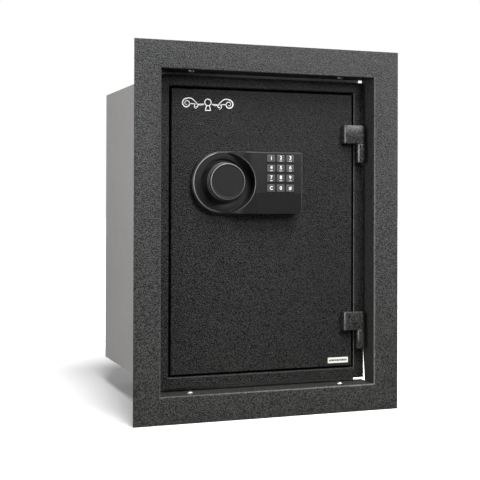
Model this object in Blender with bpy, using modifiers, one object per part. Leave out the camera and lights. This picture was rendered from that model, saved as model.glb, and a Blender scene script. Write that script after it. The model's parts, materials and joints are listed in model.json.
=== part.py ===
"""A wall safe with an electronic lock, as separate pieces at real size.

Metres, +Z up. The origin is the centre of the trim's opening on the wall surface: the trim's
flange lies on the wall in front of Y = 0 and the body runs back into the wall along +Y. The door
hangs on the right on lift-off hinges and is shown closed, with its bolts drawn back.
"""

from math import cos, pi, radians, sin

import bmesh
import bpy

GAP = 0.0003  # kept between pieces that touch

# Trim frame, a steel pressing that covers the cut edge of the wall
TRIM_HALF_X = 0.1720
TRIM_HALF_Z = 0.2385
TRIM_BORDER = 0.0412
TRIM_SHEET = 0.0016
TRIM_BEND = 0.0030
TRIM_DEPTH = 0.0430
TRIM_SCREW_X = 0.1220
TRIM_SCREW_Y = 0.0180
SCREW_RADIUS = 0.0021
SCREW_HEAD_RADIUS = 0.0055
TRIM_TAPER_Z = -0.1350  # below this the right return gets shallower
TRIM_TAPER_Y = 0.0300
BRACKETS = {"top": (1, 0.1680), "bottom": (-1, 0.1600)}  # side and half width of each

# Body
FRONT_Y = 0.0300
BACK_Y = 0.3740
BODY_HALF_X = 0.1690
BODY_HALF_Z = 0.2330
SHEET = 0.0015
OPENING_HALF_X = 0.1515
OPENING_HALF_Z = 0.2165
LEDGE_Y = 0.0890
ROOM_HALF_X = 0.1145
ROOM_HALF_Z = 0.1780
ROOM_BACK_Y = 0.3200
SHELF_SHEET = 0.0012
SHELF_LIP = 0.0120

# Door
DOOR_HALF_X = 0.1485
DOOR_HALF_Z = 0.2135
SKIN_SHEET = 0.0020
SKIN_BACK_Y = 0.0500
PAN_HALF_X = 0.1440
PAN_HALF_Z = 0.2090
PAN_BACK_Y = 0.0850
FILL_BACK_Y = 0.0600
SEAL_WIDTH = 0.0100
SEAL_INSET = 0.0060
SEAL_CLEARANCE = 0.0006

# Hinges: the axis stands in front of the frame's face
HINGE_X = 0.1600
HINGE_Y = 0.0233
BARREL_RADIUS = 0.00635
BARREL_LENGTH = 0.0295
PIN_RADIUS = 0.0037
BLOCK_HEIGHT = 0.0286
BLOCK_LEFT = 0.0294
BLOCK_RIGHT = 0.0039
BLOCK_FRONT = 0.0050
BLOCK_CHAMFER = 0.0025
HINGE_BLOCKS = {"upper": 0.1363, "lower": -0.1567}  # height of each block's underside

# Knob and boltwork
KNOB_X = -0.0693
KNOB_Z = 0.0745
KNOB_RADIUS = 0.0270
KNOB_BASE_RADIUS = 0.0301
KNOB_STEM_RADIUS = 0.0240
KNOB_SKIRT = 0.0145  # from the knob's face back to its widest edge
KNOB_LENGTH = 0.0245
KNOB_CHAMFER = 0.0016
KNOB_GROOVE = 0.0006
KNOB_GROOVE_HEIGHTS = (0.0195, 0.0158, 0.0120)
KNOB_BORE_DEPTH = 0.0190
SPINDLE_RADIUS = 0.0040
BUSH_SLEEVE = 0.0067
BUSH_FLANGE = 0.0100
BUSH_COLLAR = 0.0020
BUSH_LENGTH = 0.0095
SPINDLE_HOLE = BUSH_SLEEVE + 0.0004
BUSH_HOLE = BUSH_FLANGE + 0.0005
CAM_RADIUS = 0.0120
CAM_START = radians(40)  # the cam's pin starts this far before its lowest point
CARRIAGE_Y = (0.0640, 0.0670)
CAM_Y = (0.0608, 0.0636)
CAM_RIM = 0.0050
CAM_PIN_RADIUS = 0.0030
BAR_X = (-0.1262, -0.1100)  # the carriage's upright bar
CARRIAGE_HALF_Z = 0.1650
ARM_RIGHT_X = -0.0300
NOTCH_DEPTH = 0.0070
GUIDE_THICKNESS = 0.0060
BOLT_RADIUS = 0.0070
BOLT_Y = 0.0743
BOLT_TIP_X = -0.1450
BOLT_HEIGHTS = {"upper": 0.150, "middle": 0.0, "lower": -0.150}
FIXED_BOLT_HEIGHTS = {"upper": 0.095, "lower": -0.095}
LIVE_BOLT_LENGTH = 0.0320
FIXED_BOLT_LENGTH = 0.0270
BOLT_THROW = 2 * CAM_RADIUS * sin(CAM_START)
PLUNGER_X = -0.0540
PLUNGER_Y = 0.0673
PLUNGER_RADIUS = 0.0030
PLUNGER_TIP_Z = 0.0960
COLLAR_RADIUS = 0.0052
COLLAR_Z = (0.0065, 0.0075)  # the collar's faces above the plunger's tip
SOLENOID_Z = (0.1090, 0.1350)
SOLENOID_HALF = (0.0080, 0.0065)
ARM_TOP_Z = 0.0950
ARM_BOTTOM_Z = 0.0480

# Lock housing on the door's face
HOUSING_RIGHT = 0.0540
HOUSING_LOW_Z = 0.0260
HOUSING_TOP_Z = 0.1200
HOUSING_FRONT_Y = 0.0080
DISH_X = KNOB_X + 0.0022
DISH_Z = KNOB_Z - 0.0015
DISH_RADIUS = 0.0443
DISH_FLOOR_Y = 0.0222
WELL_RADIUS = 0.0340  # the round well that the knob's stem stands in
WELL_FLOOR_Y = 0.0260
RAMP = (-0.0660, -0.0300)  # the front face rises from the dish's floor between these
WALL = 0.0025
COVER_LEFT = -0.0200
COVER_TOP_Z = 0.0570
COVER_LOW_Y = 0.0110
COVER_WALL = 0.0018
BATTERY = ((-0.0120, 0.0135, 0.0286), (0.0365, 0.0290, 0.0541))  # a 9 volt block, lying down
DIVIDER = 0.0011
BOARD_Y = 0.0145
BOARD_SHEET = 0.0016
CABLE_X = -0.0050
CABLE_Z = 0.1120
CABLE_RADIUS = 0.0016
CABLE_HOLE = 0.0040
CABLE_BEND = 0.0060

# Keys
KEY_LEFT_X = 0.0023
KEY_TOP_Z = 0.1100
KEY_PITCH_X = 0.0155
KEY_PITCH_Z = 0.0150
KEY_SIZE = (0.0125, 0.0113)
KEY_FRONT_Y = 0.0066
KEY_ROWS = (("1", "2", "3"), ("4", "5", "6"), ("7", "8", "9"), ("clear", "0", "hash"))

# Colour, roughness and metallic value of each material
MATERIALS = {
    "charcoal_paint": ((0.060, 0.061, 0.065), 0.55, 0.2),
    "door_paint": ((0.028, 0.028, 0.030), 0.50, 0.2),
    "grey_paint": ((0.300, 0.295, 0.285), 0.55, 0.0),
    "liner_plastic": ((0.200, 0.200, 0.200), 0.60, 0.0),
    "fire_fill": ((0.550, 0.520, 0.470), 0.95, 0.0),
    "black_plastic": ((0.020, 0.020, 0.021), 0.40, 0.0),
    "key_plastic": ((0.160, 0.160, 0.170), 0.50, 0.0),
    "seal_rubber": ((0.015, 0.015, 0.015), 0.80, 0.0),
    "bright_steel": ((0.600, 0.600, 0.610), 0.30, 1.0),
    "brass": ((0.700, 0.500, 0.220), 0.35, 1.0),
    "board_green": ((0.020, 0.120, 0.050), 0.50, 0.0),
    "battery_shell": ((0.100, 0.110, 0.130), 0.40, 0.3),
}

PARTS = None
CUTTERS = None


def clear_scene():
    """An empty file, with one collection for the parts and one for the cutters."""
    global PARTS, CUTTERS
    for item in list(bpy.data.objects):
        bpy.data.objects.remove(item, do_unlink=True)
    PARTS = bpy.data.collections.new("wall_safe")
    CUTTERS = bpy.data.collections.new("wall_safe_cutters")
    bpy.context.scene.collection.children.link(PARTS)
    bpy.context.scene.collection.children.link(CUTTERS)


def material(name):
    """The named Principled material, made once."""
    found = bpy.data.materials.get(name)
    if found:
        return found
    colour, roughness, metallic = MATERIALS[name]
    made = bpy.data.materials.new(name)
    made.use_nodes = True
    shader = made.node_tree.nodes["Principled BSDF"]
    shader.inputs["Base Color"].default_value = (*colour, 1.0)
    shader.inputs["Roughness"].default_value = roughness
    shader.inputs["Metallic"].default_value = metallic
    return made


def add(name, mesh, finish, place=(0, 0, 0), turn=(0, 0, 0)):
    """A mesh as a named object: a part with its material, or a cutter when finish is None."""
    made = bpy.data.objects.new(name, mesh)
    made.location = place
    made.rotation_euler = turn
    if finish is None:
        CUTTERS.objects.link(made)
        made.hide_render = True
        made.display_type = "WIRE"
    else:
        PARTS.objects.link(made)
        mesh.materials.clear()
        mesh.materials.append(material(finish))
    return made


def hang(piece, guide):
    """The piece follows the guide and stays where it is."""
    bpy.context.view_layer.update()
    piece.parent = guide
    piece.matrix_parent_inverse = guide.matrix_world.inverted()


def joint_guide(name, place):
    """An empty on a joint's axis."""
    guide = bpy.data.objects.new(name, None)
    guide.location = place
    PARTS.objects.link(guide)
    return guide


def mesh_from(name, work):
    """A mesh holding the finished edit mesh."""
    mesh = bpy.data.meshes.new(name)
    work.to_mesh(mesh)
    work.free()
    return mesh


def box(name, low, high, finish=None, left_out=()):
    """A block between two corners; left_out names sides to leave open, such as "+Y"."""
    work = bmesh.new()
    bmesh.ops.create_cube(work, size=1.0)
    size = [b - a for a, b in zip(low, high)]
    bmesh.ops.scale(work, vec=size, verts=work.verts)
    work.normal_update()
    gone = []
    for face in work.faces:
        axis = max(range(3), key=lambda i: abs(face.normal[i]))
        side = ("+" if face.normal[axis] > 0 else "-") + "XYZ"[axis]
        if side in left_out:
            gone.append(face)
    bmesh.ops.delete(work, geom=gone, context="FACES")
    centre = [(a + b) / 2 for a, b in zip(low, high)]
    return add(name, mesh_from(name, work), finish, centre)


def open_box(name, low, high, wall, left_out, finish):
    """Sheet metal: a box without the sides left out, thickened inwards."""
    made = box(name, low, high, finish, left_out)
    thicken(made, wall, -1)
    return made


def thicken(piece, wall, side):
    """Sheet thickness, inwards for -1 and outwards for 1."""
    solid = piece.modifiers.new("thickness", "SOLIDIFY")
    solid.thickness = wall
    solid.offset = side
    solid.use_even_offset = True


def soften(piece, width, segments=2):
    """Rounded edges."""
    bevel = piece.modifiers.new("edges", "BEVEL")
    bevel.width = width
    bevel.segments = segments
    bevel.limit_method = "ANGLE"


def cut(piece, *cutters):
    """Each cutter's shape is taken away from the piece."""
    for cutter in cutters:
        boolean = piece.modifiers.new("cut", "BOOLEAN")
        boolean.operation = "DIFFERENCE"
        boolean.solver = "EXACT"
        boolean.object = cutter


def join(piece, *others):
    """Each other shape becomes one body with the piece."""
    for other in others:
        boolean = piece.modifiers.new("join", "BOOLEAN")
        boolean.operation = "UNION"
        boolean.solver = "EXACT"
        boolean.object = other


def rod(name, radius, start, end, finish=None, sides=20):
    """A round bar, or a drill when it has no finish, between two points along one axis."""
    axis = max(range(3), key=lambda i: abs(end[i] - start[i]))
    work = bmesh.new()
    length = abs(end[axis] - start[axis])
    bmesh.ops.create_cone(
        work, cap_ends=True, segments=sides, radius1=radius, radius2=radius, depth=length
    )
    turn = {0: (0, pi / 2, 0), 1: (pi / 2, 0, 0), 2: (0, 0, 0)}[axis]
    place = [(a + b) / 2 for a, b in zip(start, end)]
    made = add(name, mesh_from(name, work), finish, place, turn)
    made.data.shade_smooth()
    made.data.set_sharp_from_angle(angle=radians(40))
    return made


def turned(name, profile, place, turn, finish, steps=24):
    """A lathe profile of (radius, height), down its outer side, spun about local Z."""
    work = bmesh.new()
    points = [work.verts.new((radius, 0, height)) for radius, height in profile]
    for first, second in zip(points, points[1:]):
        work.edges.new((first, second))
    if profile[0][0] > 0 and profile[-1][0] > 0:
        work.edges.new((points[-1], points[0]))
    made = add(name, mesh_from(name, work), finish, place, turn)
    spin = made.modifiers.new("spin", "SCREW")
    spin.angle = 2 * pi
    spin.steps = steps
    spin.render_steps = steps
    spin.use_merge_vertices = True
    spin.merge_threshold = 0.00005
    spin.use_smooth_shade = False
    return made


def arc(centre, radius, start, end, steps):
    """Points along an arc, angles in degrees."""
    turns = [radians(start + (end - start) * i / steps) for i in range(steps + 1)]
    return [(centre[0] + radius * cos(a), centre[1] + radius * sin(a)) for a in turns]


def flat(name, outline, holes, thickness, place, turn, finish):
    """A flat outline with its holes, extruded to a thickness that is centred on place."""
    curve = bpy.data.curves.new(name, "CURVE")
    curve.dimensions = "2D"
    curve.fill_mode = "BOTH"
    curve.extrude = thickness / 2
    for points in (outline, *holes):
        spline = curve.splines.new("POLY")
        spline.points.add(len(points) - 1)
        for point, (x, y) in zip(spline.points, points):
            point.co = (x, y, 0, 1)
        spline.use_cyclic_u = True
    drawn = bpy.data.objects.new(name + "_outline", curve)
    PARTS.objects.link(drawn)
    bpy.context.view_layer.update()
    mesh = bpy.data.meshes.new_from_object(drawn.evaluated_get(bpy.context.evaluated_depsgraph_get()))
    bpy.data.objects.remove(drawn)
    work = bmesh.new()
    work.from_mesh(mesh)
    bmesh.ops.remove_doubles(work, verts=work.verts, dist=0.000001)
    bmesh.ops.dissolve_limit(work, angle_limit=0.001, verts=work.verts, edges=work.edges)
    work.to_mesh(mesh)
    work.free()
    mesh.name = name
    return add(name, mesh, finish, place, turn)


FACING = (pi / 2, 0, 0)  # turns local XY upright: local Y becomes Z, local Z points at the room
SIDE_ON = (pi / 2, 0, pi / 2)  # local X becomes Y, local Y becomes Z


def upright(name, outline, holes, near_y, far_y, finish):
    """A flat outline of (x, z) points standing between two depths."""
    place = (0, (near_y + far_y) / 2, 0)
    return flat(name, outline, holes, far_y - near_y, place, FACING, finish)


def pressed_frame(name, section, finish, capped=False):
    """A section carried round a rectangle with mitred corners.

    The section is a list of (half width, half height, y). It closes on itself, or when capped its
    first and last rectangles are filled, which makes a tray.
    """
    work = bmesh.new()
    rings = []
    for half_x, half_z, y in section:
        signs = ((-1, -1), (1, -1), (1, 1), (-1, 1))
        rings.append([work.verts.new((sx * half_x, y, sz * half_z)) for sx, sz in signs])
    pairs = list(zip(rings, rings[1:]))
    if not capped:
        pairs.append((rings[-1], rings[0]))
    for near, far in pairs:
        for i in range(4):
            work.faces.new((near[i - 1], near[i], far[i], far[i - 1]))
    if capped:
        work.faces.new(rings[0])
        work.faces.new(rings[-1])
    bmesh.ops.recalc_face_normals(work, faces=work.faces)
    return add(name, mesh_from(name, work), finish)


def make_trim():
    """The flange on the wall, bent back into the opening."""
    centre_y = TRIM_BEND - TRIM_SHEET
    outer = arc((TRIM_BEND, centre_y), TRIM_BEND, 270, 180, 3)
    inner = arc((TRIM_BEND, centre_y), TRIM_BEND - TRIM_SHEET, 180, 270, 3)
    steps = [(TRIM_BORDER, -TRIM_SHEET), *outer, (0, TRIM_DEPTH), (TRIM_SHEET, TRIM_DEPTH)]
    steps += [*inner, (TRIM_BORDER, 0)]
    section = [(TRIM_HALF_X + out, TRIM_HALF_Z + out, y) for out, y in steps]
    trim = pressed_frame("trim_frame", section, "charcoal_paint")
    for sx in (-1, 1):
        x = sx * TRIM_SCREW_X
        low = (x, TRIM_SCREW_Y, -TRIM_HALF_Z - 0.01)
        high = (x, TRIM_SCREW_Y, TRIM_HALF_Z + 0.01)
        cut(trim, rod(f"trim_drill_{sx}", SCREW_RADIUS + 0.0005, low, high, sides=12))
    past = TRIM_HALF_Z + 0.010
    taper = [
        (TRIM_DEPTH, TRIM_TAPER_Z),
        (TRIM_TAPER_Y, -TRIM_HALF_Z),
        (TRIM_TAPER_Y, -past),
        (TRIM_DEPTH + 0.010, -past),
        (TRIM_DEPTH + 0.010, TRIM_TAPER_Z),
    ]
    right = (TRIM_HALF_X + 0.001, 0, 0)
    cut(trim, flat("trim_taper", taper, (), 0.004, right, SIDE_ON, None))


def make_bracket(side, sz, half_width):
    """A folded strip on the body, outside the trim, that the trim's screws go into."""
    seat = BODY_HALF_Z + GAP
    raised = TRIM_HALF_Z + TRIM_SHEET + GAP
    step = TRIM_DEPTH + 0.0030
    path = [(0.0080, raised), (step, raised), (step + 0.0040, seat), (step + 0.0300, seat)]
    work = bmesh.new()
    rows = []
    for y, z in path:
        rows.append([work.verts.new((sx * half_width, y, sz * z)) for sx in (-1, 1)])
    for near, far in zip(rows, rows[1:]):
        work.faces.new((near[0], near[1], far[1], far[0]))
    bracket = add(f"trim_bracket_{side}", mesh_from("bracket", work), "grey_paint")
    thicken(bracket, SHEET, sz)
    for sx in (-1, 1):
        low = (sx * TRIM_SCREW_X, TRIM_SCREW_Y, sz * (raised - 0.01))
        high = (sx * TRIM_SCREW_X, TRIM_SCREW_Y, sz * (raised + 0.01))
        cut(bracket, rod(f"bracket_drill_{side}_{sx}", SCREW_RADIUS + 0.0005, low, high, sides=12))


def make_trim_screw(side, sx, sz):
    """A domed screw inside the trim, through its return and into the bracket."""
    head = (SCREW_HEAD_RADIUS, 0.0028)
    dome = [(head[0] * sin(radians(a)), head[1] * cos(radians(a))) for a in (0, 30, 60, 90)]
    profile = [*dome, (SCREW_RADIUS, 0), (SCREW_RADIUS, -0.0090), (0, -0.0090)]
    turn = (pi, 0, 0) if sz > 0 else (0, 0, 0)
    place = (sx * TRIM_SCREW_X, TRIM_SCREW_Y, sz * (TRIM_HALF_Z - GAP))
    turned(f"trim_screw_{side}", profile, place, turn, "bright_steel", 12)


def make_shell():
    """The sheet steel body: wrap, back and the front frame with its jamb and ledge."""
    open_box(
        "outer_wrap",
        (-BODY_HALF_X, FRONT_Y + SHEET + GAP, -BODY_HALF_Z),
        (BODY_HALF_X, BACK_Y - SHEET - GAP, BODY_HALF_Z),
        SHEET,
        ("-Y", "+Y"),
        "grey_paint",
    )
    box(
        "rear_panel",
        (-BODY_HALF_X, BACK_Y - SHEET, -BODY_HALF_Z),
        (BODY_HALF_X, BACK_Y, BODY_HALF_Z),
        "grey_paint",
    )
    ledge_x = ROOM_HALF_X + SHEET + GAP
    ledge_z = ROOM_HALF_Z + SHEET + GAP
    bend = 0.0020
    section = [
        (BODY_HALF_X, BODY_HALF_Z, FRONT_Y),
        (OPENING_HALF_X + bend, OPENING_HALF_Z + bend, FRONT_Y),
        (OPENING_HALF_X + bend / 3, OPENING_HALF_Z + bend / 3, FRONT_Y + bend / 3),
        (OPENING_HALF_X, OPENING_HALF_Z, FRONT_Y + bend),
        (OPENING_HALF_X, OPENING_HALF_Z, LEDGE_Y),
        (ledge_x, ledge_z, LEDGE_Y),
        (ledge_x, ledge_z, LEDGE_Y + SHEET),
        (OPENING_HALF_X + SHEET, OPENING_HALF_Z + SHEET, LEDGE_Y + SHEET),
        (OPENING_HALF_X + SHEET, OPENING_HALF_Z + SHEET, FRONT_Y + SHEET),
        (BODY_HALF_X, BODY_HALF_Z, FRONT_Y + SHEET),
    ]
    frame = pressed_frame("door_frame", section, "door_paint")
    for place, z in BOLT_HEIGHTS.items():
        start = (-OPENING_HALF_X - 0.005, BOLT_Y, z)
        end = (-OPENING_HALF_X + 0.005, BOLT_Y, z)
        cut(frame, rod(f"jamb_hole_{place}", BOLT_RADIUS + 0.0010, start, end, sides=16))
    for place, z in FIXED_BOLT_HEIGHTS.items():
        start = (OPENING_HALF_X - 0.005, BOLT_Y, z)
        end = (OPENING_HALF_X + 0.005, BOLT_Y, z)
        cut(frame, rod(f"hinge_jamb_hole_{place}", BOLT_RADIUS + 0.0030, start, end, sides=16))


def make_body_fill():
    """The fire resistant filling between the steel skins and the liner."""
    inner = SHEET + GAP
    fill = box(
        "body_fire_fill",
        (-BODY_HALF_X + inner, FRONT_Y + inner, -BODY_HALF_Z + inner),
        (BODY_HALF_X - inner, BACK_Y - inner, BODY_HALF_Z - inner),
        "fire_fill",
    )
    mouth = (OPENING_HALF_X + inner, OPENING_HALF_Z + inner)
    room = (ROOM_HALF_X + inner, ROOM_HALF_Z + inner)
    cut(
        fill,
        box(
            "jamb_space",
            (-mouth[0], FRONT_Y - 0.01, -mouth[1]),
            (mouth[0], LEDGE_Y + inner, mouth[1]),
        ),
        box(
            "liner_space",
            (-room[0], LEDGE_Y - 0.01, -room[1]),
            (room[0], ROOM_BACK_Y + inner, room[1]),
        ),
    )
    for place, z in BOLT_HEIGHTS.items():
        tip = (BOLT_TIP_X - BOLT_THROW - 0.002, BOLT_Y, z)
        start = (-OPENING_HALF_X + 0.005, BOLT_Y, z)
        cut(fill, rod(f"bolt_pocket_{place}", BOLT_RADIUS + 0.0020, start, tip, sides=16))
    for place, z in FIXED_BOLT_HEIGHTS.items():
        start = (OPENING_HALF_X - 0.005, BOLT_Y, z)
        tip = (HINGE_X + 0.001, BOLT_Y, z)
        cut(fill, rod(f"fixed_bolt_pocket_{place}", BOLT_RADIUS + 0.0040, start, tip, sides=16))


def make_room():
    """The liner, its shelf and the rails that the shelf stands on."""
    open_box(
        "inner_liner",
        (-ROOM_HALF_X - SHEET, LEDGE_Y, -ROOM_HALF_Z - SHEET),
        (ROOM_HALF_X + SHEET, ROOM_BACK_Y + SHEET, ROOM_HALF_Z + SHEET),
        SHEET,
        ("-Y",),
        "liner_plastic",
    )
    shelf_half_x = ROOM_HALF_X - 0.0010
    open_box(
        "shelf",
        (-shelf_half_x, LEDGE_Y + 0.010, -SHELF_LIP),
        (shelf_half_x, ROOM_BACK_Y - 0.002, 0),
        SHELF_SHEET,
        ("-Z",),
        "grey_paint",
    )
    for side, sx in (("left", -1), ("right", 1)):
        wall_x = sx * (ROOM_HALF_X - GAP)
        inner_x = wall_x - sx * 0.0100
        top = -SHELF_LIP - GAP
        low = (min(wall_x, inner_x), LEDGE_Y + 0.014, top - 0.010)
        high = (max(wall_x, inner_x), ROOM_BACK_Y - 0.004, top)
        gone = ("-Y", "+Y", "-Z", "+X" if sx < 0 else "-X")
        open_box(f"shelf_rail_{side}", low, high, SHELF_SHEET, gone, "grey_paint")


def make_hinge(place, under):
    """A lift-off hinge: a barrel on the frame, its pin, and the block on the door."""
    top = under - GAP
    bore = PIN_RADIUS + GAP
    depth = BARREL_LENGTH - 0.005
    profile = [
        (0, BARREL_LENGTH - depth),
        (bore, BARREL_LENGTH - depth),
        (bore, BARREL_LENGTH),
        (BARREL_RADIUS - 0.0005, BARREL_LENGTH),
        (BARREL_RADIUS, BARREL_LENGTH - 0.0005),
        (BARREL_RADIUS, 0.0005),
        (BARREL_RADIUS - 0.0005, 0),
        (0, 0),
    ]
    low = (HINGE_X, HINGE_Y, top - BARREL_LENGTH)
    turned(f"hinge_barrel_{place}", profile, low, (0, 0, 0), "door_paint", 24)
    pin_low = (HINGE_X, HINGE_Y, top - depth + GAP)
    pin_high = (HINGE_X, HINGE_Y, under + BLOCK_HEIGHT * 0.75)
    rod(f"hinge_pin_{place}", PIN_RADIUS, pin_low, pin_high, "bright_steel", 16)
    back = FRONT_Y - GAP - HINGE_Y
    outline = [
        (-BLOCK_LEFT, back),
        (-BLOCK_LEFT, BLOCK_CHAMFER - BLOCK_FRONT),
        (BLOCK_CHAMFER - BLOCK_LEFT, -BLOCK_FRONT),
        (BLOCK_RIGHT - 0.0010, -BLOCK_FRONT),
        (BLOCK_RIGHT, 0.0010 - BLOCK_FRONT),
        *arc((0, 0), back, 52, 90, 4),
    ]
    middle = (HINGE_X, HINGE_Y, under + BLOCK_HEIGHT / 2)
    block = flat(f"hinge_block_{place}", outline, (), BLOCK_HEIGHT, middle, (0, 0, 0), "door_paint")
    drill_low = (HINGE_X, HINGE_Y, under - 0.005)
    drill_high = (HINGE_X, HINGE_Y, under + BLOCK_HEIGHT * 0.75 + 0.001)
    cut(block, rod(f"block_drill_{place}", bore, drill_low, drill_high, sides=16))
    return block


def make_door():
    """The door's skin, filling, inner pan and seal; returns its pieces."""
    bend = 0.0010
    skin_section = [
        (DOOR_HALF_X - bend, DOOR_HALF_Z - bend, FRONT_Y),
        (DOOR_HALF_X, DOOR_HALF_Z, FRONT_Y + bend),
        (DOOR_HALF_X, DOOR_HALF_Z, SKIN_BACK_Y),
        (DOOR_HALF_X - SKIN_SHEET, DOOR_HALF_Z - SKIN_SHEET, SKIN_BACK_Y),
        (DOOR_HALF_X - SKIN_SHEET, DOOR_HALF_Z - SKIN_SHEET, FRONT_Y + SKIN_SHEET),
    ]
    skin = pressed_frame("door_skin", skin_section, "door_paint", capped=True)
    flange = 0.0040
    rim_y = SKIN_BACK_Y + GAP
    pan_section = [
        (PAN_HALF_X, PAN_HALF_Z, PAN_BACK_Y),
        (PAN_HALF_X, PAN_HALF_Z, rim_y + SHEET),
        (PAN_HALF_X + flange, PAN_HALF_Z + flange, rim_y + SHEET),
        (PAN_HALF_X + flange, PAN_HALF_Z + flange, rim_y),
        (PAN_HALF_X - SHEET, PAN_HALF_Z - SHEET, rim_y),
        (PAN_HALF_X - SHEET, PAN_HALF_Z - SHEET, PAN_BACK_Y - SHEET),
    ]
    pan = pressed_frame("door_pan", pan_section, "door_paint", capped=True)
    inset = SKIN_SHEET + GAP
    fill = box(
        "door_fire_fill",
        (inset - DOOR_HALF_X, FRONT_Y + inset, inset - DOOR_HALF_Z),
        (DOOR_HALF_X - inset, SKIN_BACK_Y, DOOR_HALF_Z - inset),
        "fire_fill",
    )
    behind_x = PAN_HALF_X - SHEET - GAP
    behind_z = PAN_HALF_Z - SHEET - GAP
    block = box(
        "fill_behind",
        (-behind_x, FRONT_Y + 0.010, -behind_z),
        (behind_x, FILL_BACK_Y, behind_z),
    )
    join(fill, block)
    x, z = KNOB_X, KNOB_Z
    near, far = FRONT_Y - 0.01, FILL_BACK_Y + 0.01
    past = FRONT_Y + 0.005
    cut(skin, rod("skin_spindle_hole", SPINDLE_HOLE, (x, near, z), (x, past, z)))
    cut(fill, rod("fill_spindle_hole", BUSH_HOLE, (x, near, z), (x, far, z)))
    x, z = CABLE_X, CABLE_Z
    cut(skin, rod("skin_cable_hole", CABLE_HOLE, (x, near, z), (x, past, z), sides=12))
    cut(fill, rod("fill_cable_hole", CABLE_HOLE, (x, near, z), (x, far, z), sides=12))
    for place, height in BOLT_HEIGHTS.items():
        start = (-PAN_HALF_X - 0.005, BOLT_Y, height)
        end = (-PAN_HALF_X + 0.005, BOLT_Y, height)
        cut(pan, rod(f"pan_hole_{place}", BOLT_RADIUS + 0.0005, start, end, sides=16))
    for place, height in FIXED_BOLT_HEIGHTS.items():
        start = (PAN_HALF_X - 0.005, BOLT_Y, height)
        end = (PAN_HALF_X + 0.005, BOLT_Y, height)
        cut(pan, rod(f"fixed_pan_hole_{place}", BOLT_RADIUS + GAP, start, end, sides=16))
    seal_x = PAN_HALF_X - SEAL_INSET
    seal_z = PAN_HALF_Z - SEAL_INSET
    seal_section = [
        (seal_x, seal_z, PAN_BACK_Y + GAP),
        (seal_x, seal_z, LEDGE_Y - SEAL_CLEARANCE),
        (seal_x - SEAL_WIDTH, seal_z - SEAL_WIDTH, LEDGE_Y - SEAL_CLEARANCE),
        (seal_x - SEAL_WIDTH, seal_z - SEAL_WIDTH, PAN_BACK_Y + GAP),
    ]
    seal = pressed_frame("door_seal", seal_section, "seal_rubber")
    return [skin, pan, fill, seal]


def make_bolt(name, length, place, turn):
    """A round bolt with a chamfered tip."""
    tip = 0.0020
    profile = [
        (0, length),
        (BOLT_RADIUS - tip, length),
        (BOLT_RADIUS, length - tip),
        (BOLT_RADIUS, 0),
        (0, 0),
    ]
    return turned(name, profile, place, turn, "bright_steel", 16)


def make_fixed_bolt(place, height):
    """A dead bolt on the hinge side, which keeps the door shut if the hinges are cut."""
    root = (HINGE_X - 0.0020 - FIXED_BOLT_LENGTH, BOLT_Y, height)
    return make_bolt(f"fixed_bolt_{place}", FIXED_BOLT_LENGTH, root, (0, pi / 2, 0))


def make_knob():
    """The knob, its spindle and the cam that moves the boltwork; returns them."""
    bore = SPINDLE_RADIUS + GAP
    skirt = KNOB_LENGTH - KNOB_SKIRT
    shoulder = KNOB_LENGTH - KNOB_CHAMFER
    slope = (KNOB_BASE_RADIUS - KNOB_RADIUS) / (shoulder - skirt)
    profile = [(0, KNOB_LENGTH), (KNOB_RADIUS - KNOB_CHAMFER, KNOB_LENGTH), (KNOB_RADIUS, shoulder)]
    groove = KNOB_GROOVE
    for height in KNOB_GROOVE_HEIGHTS:
        radius = KNOB_BASE_RADIUS - slope * (height - skirt)
        profile += [(radius, height + groove), (radius - groove, height), (radius, height - groove)]
    profile += [(KNOB_BASE_RADIUS, skirt), (KNOB_STEM_RADIUS, skirt - 0.0020), (KNOB_STEM_RADIUS, 0)]
    profile += [(bore, 0), (bore, KNOB_BORE_DEPTH), (0, KNOB_BORE_DEPTH)]
    base = (KNOB_X, KNOB_LENGTH, KNOB_Z)
    knob = turned("knob", profile, base, FACING, "black_plastic", 32)
    spindle_front = KNOB_LENGTH - KNOB_BORE_DEPTH + GAP
    start = (KNOB_X, spindle_front, KNOB_Z)
    end = (KNOB_X, CAM_Y[1] - GAP, KNOB_Z)
    spindle = rod("knob_spindle", SPINDLE_RADIUS, start, end, "bright_steel", 16)
    disc = rod(
        "drive_cam",
        CAM_RADIUS + CAM_RIM,
        (KNOB_X, CAM_Y[0], KNOB_Z),
        (KNOB_X, CAM_Y[1], KNOB_Z),
        "bright_steel",
        24,
    )
    pin_x = KNOB_X + CAM_RADIUS * sin(CAM_START)
    pin_z = KNOB_Z - CAM_RADIUS * cos(CAM_START)
    pin_start = (pin_x, CAM_Y[0] + 0.0010, pin_z)
    pin_end = (pin_x, CARRIAGE_Y[1] + 0.0020, pin_z)
    pin = rod("cam_pin", CAM_PIN_RADIUS, pin_start, pin_end, sides=16)
    join(disc, pin)
    drill_start = (KNOB_X, CAM_Y[0] - 0.005, KNOB_Z)
    cut(disc, rod("cam_drill", bore, drill_start, (KNOB_X, CAM_Y[1] + 0.005, KNOB_Z), sides=16))
    return [knob, spindle, disc]


def make_bush():
    """The flanged brass bush that carries the spindle through the door's skin."""
    bore = SPINDLE_RADIUS + 0.0004
    profile = [
        (BUSH_SLEEVE, BUSH_LENGTH),
        (BUSH_SLEEVE, BUSH_COLLAR),
        (BUSH_FLANGE, BUSH_COLLAR),
        (BUSH_FLANGE, 0),
        (bore, 0),
        (bore, BUSH_LENGTH),
    ]
    behind_skin = (KNOB_X, FRONT_Y + SKIN_SHEET + GAP + BUSH_COLLAR, KNOB_Z)
    return turned("spindle_bush", profile, behind_skin, FACING, "brass", 20)


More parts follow.
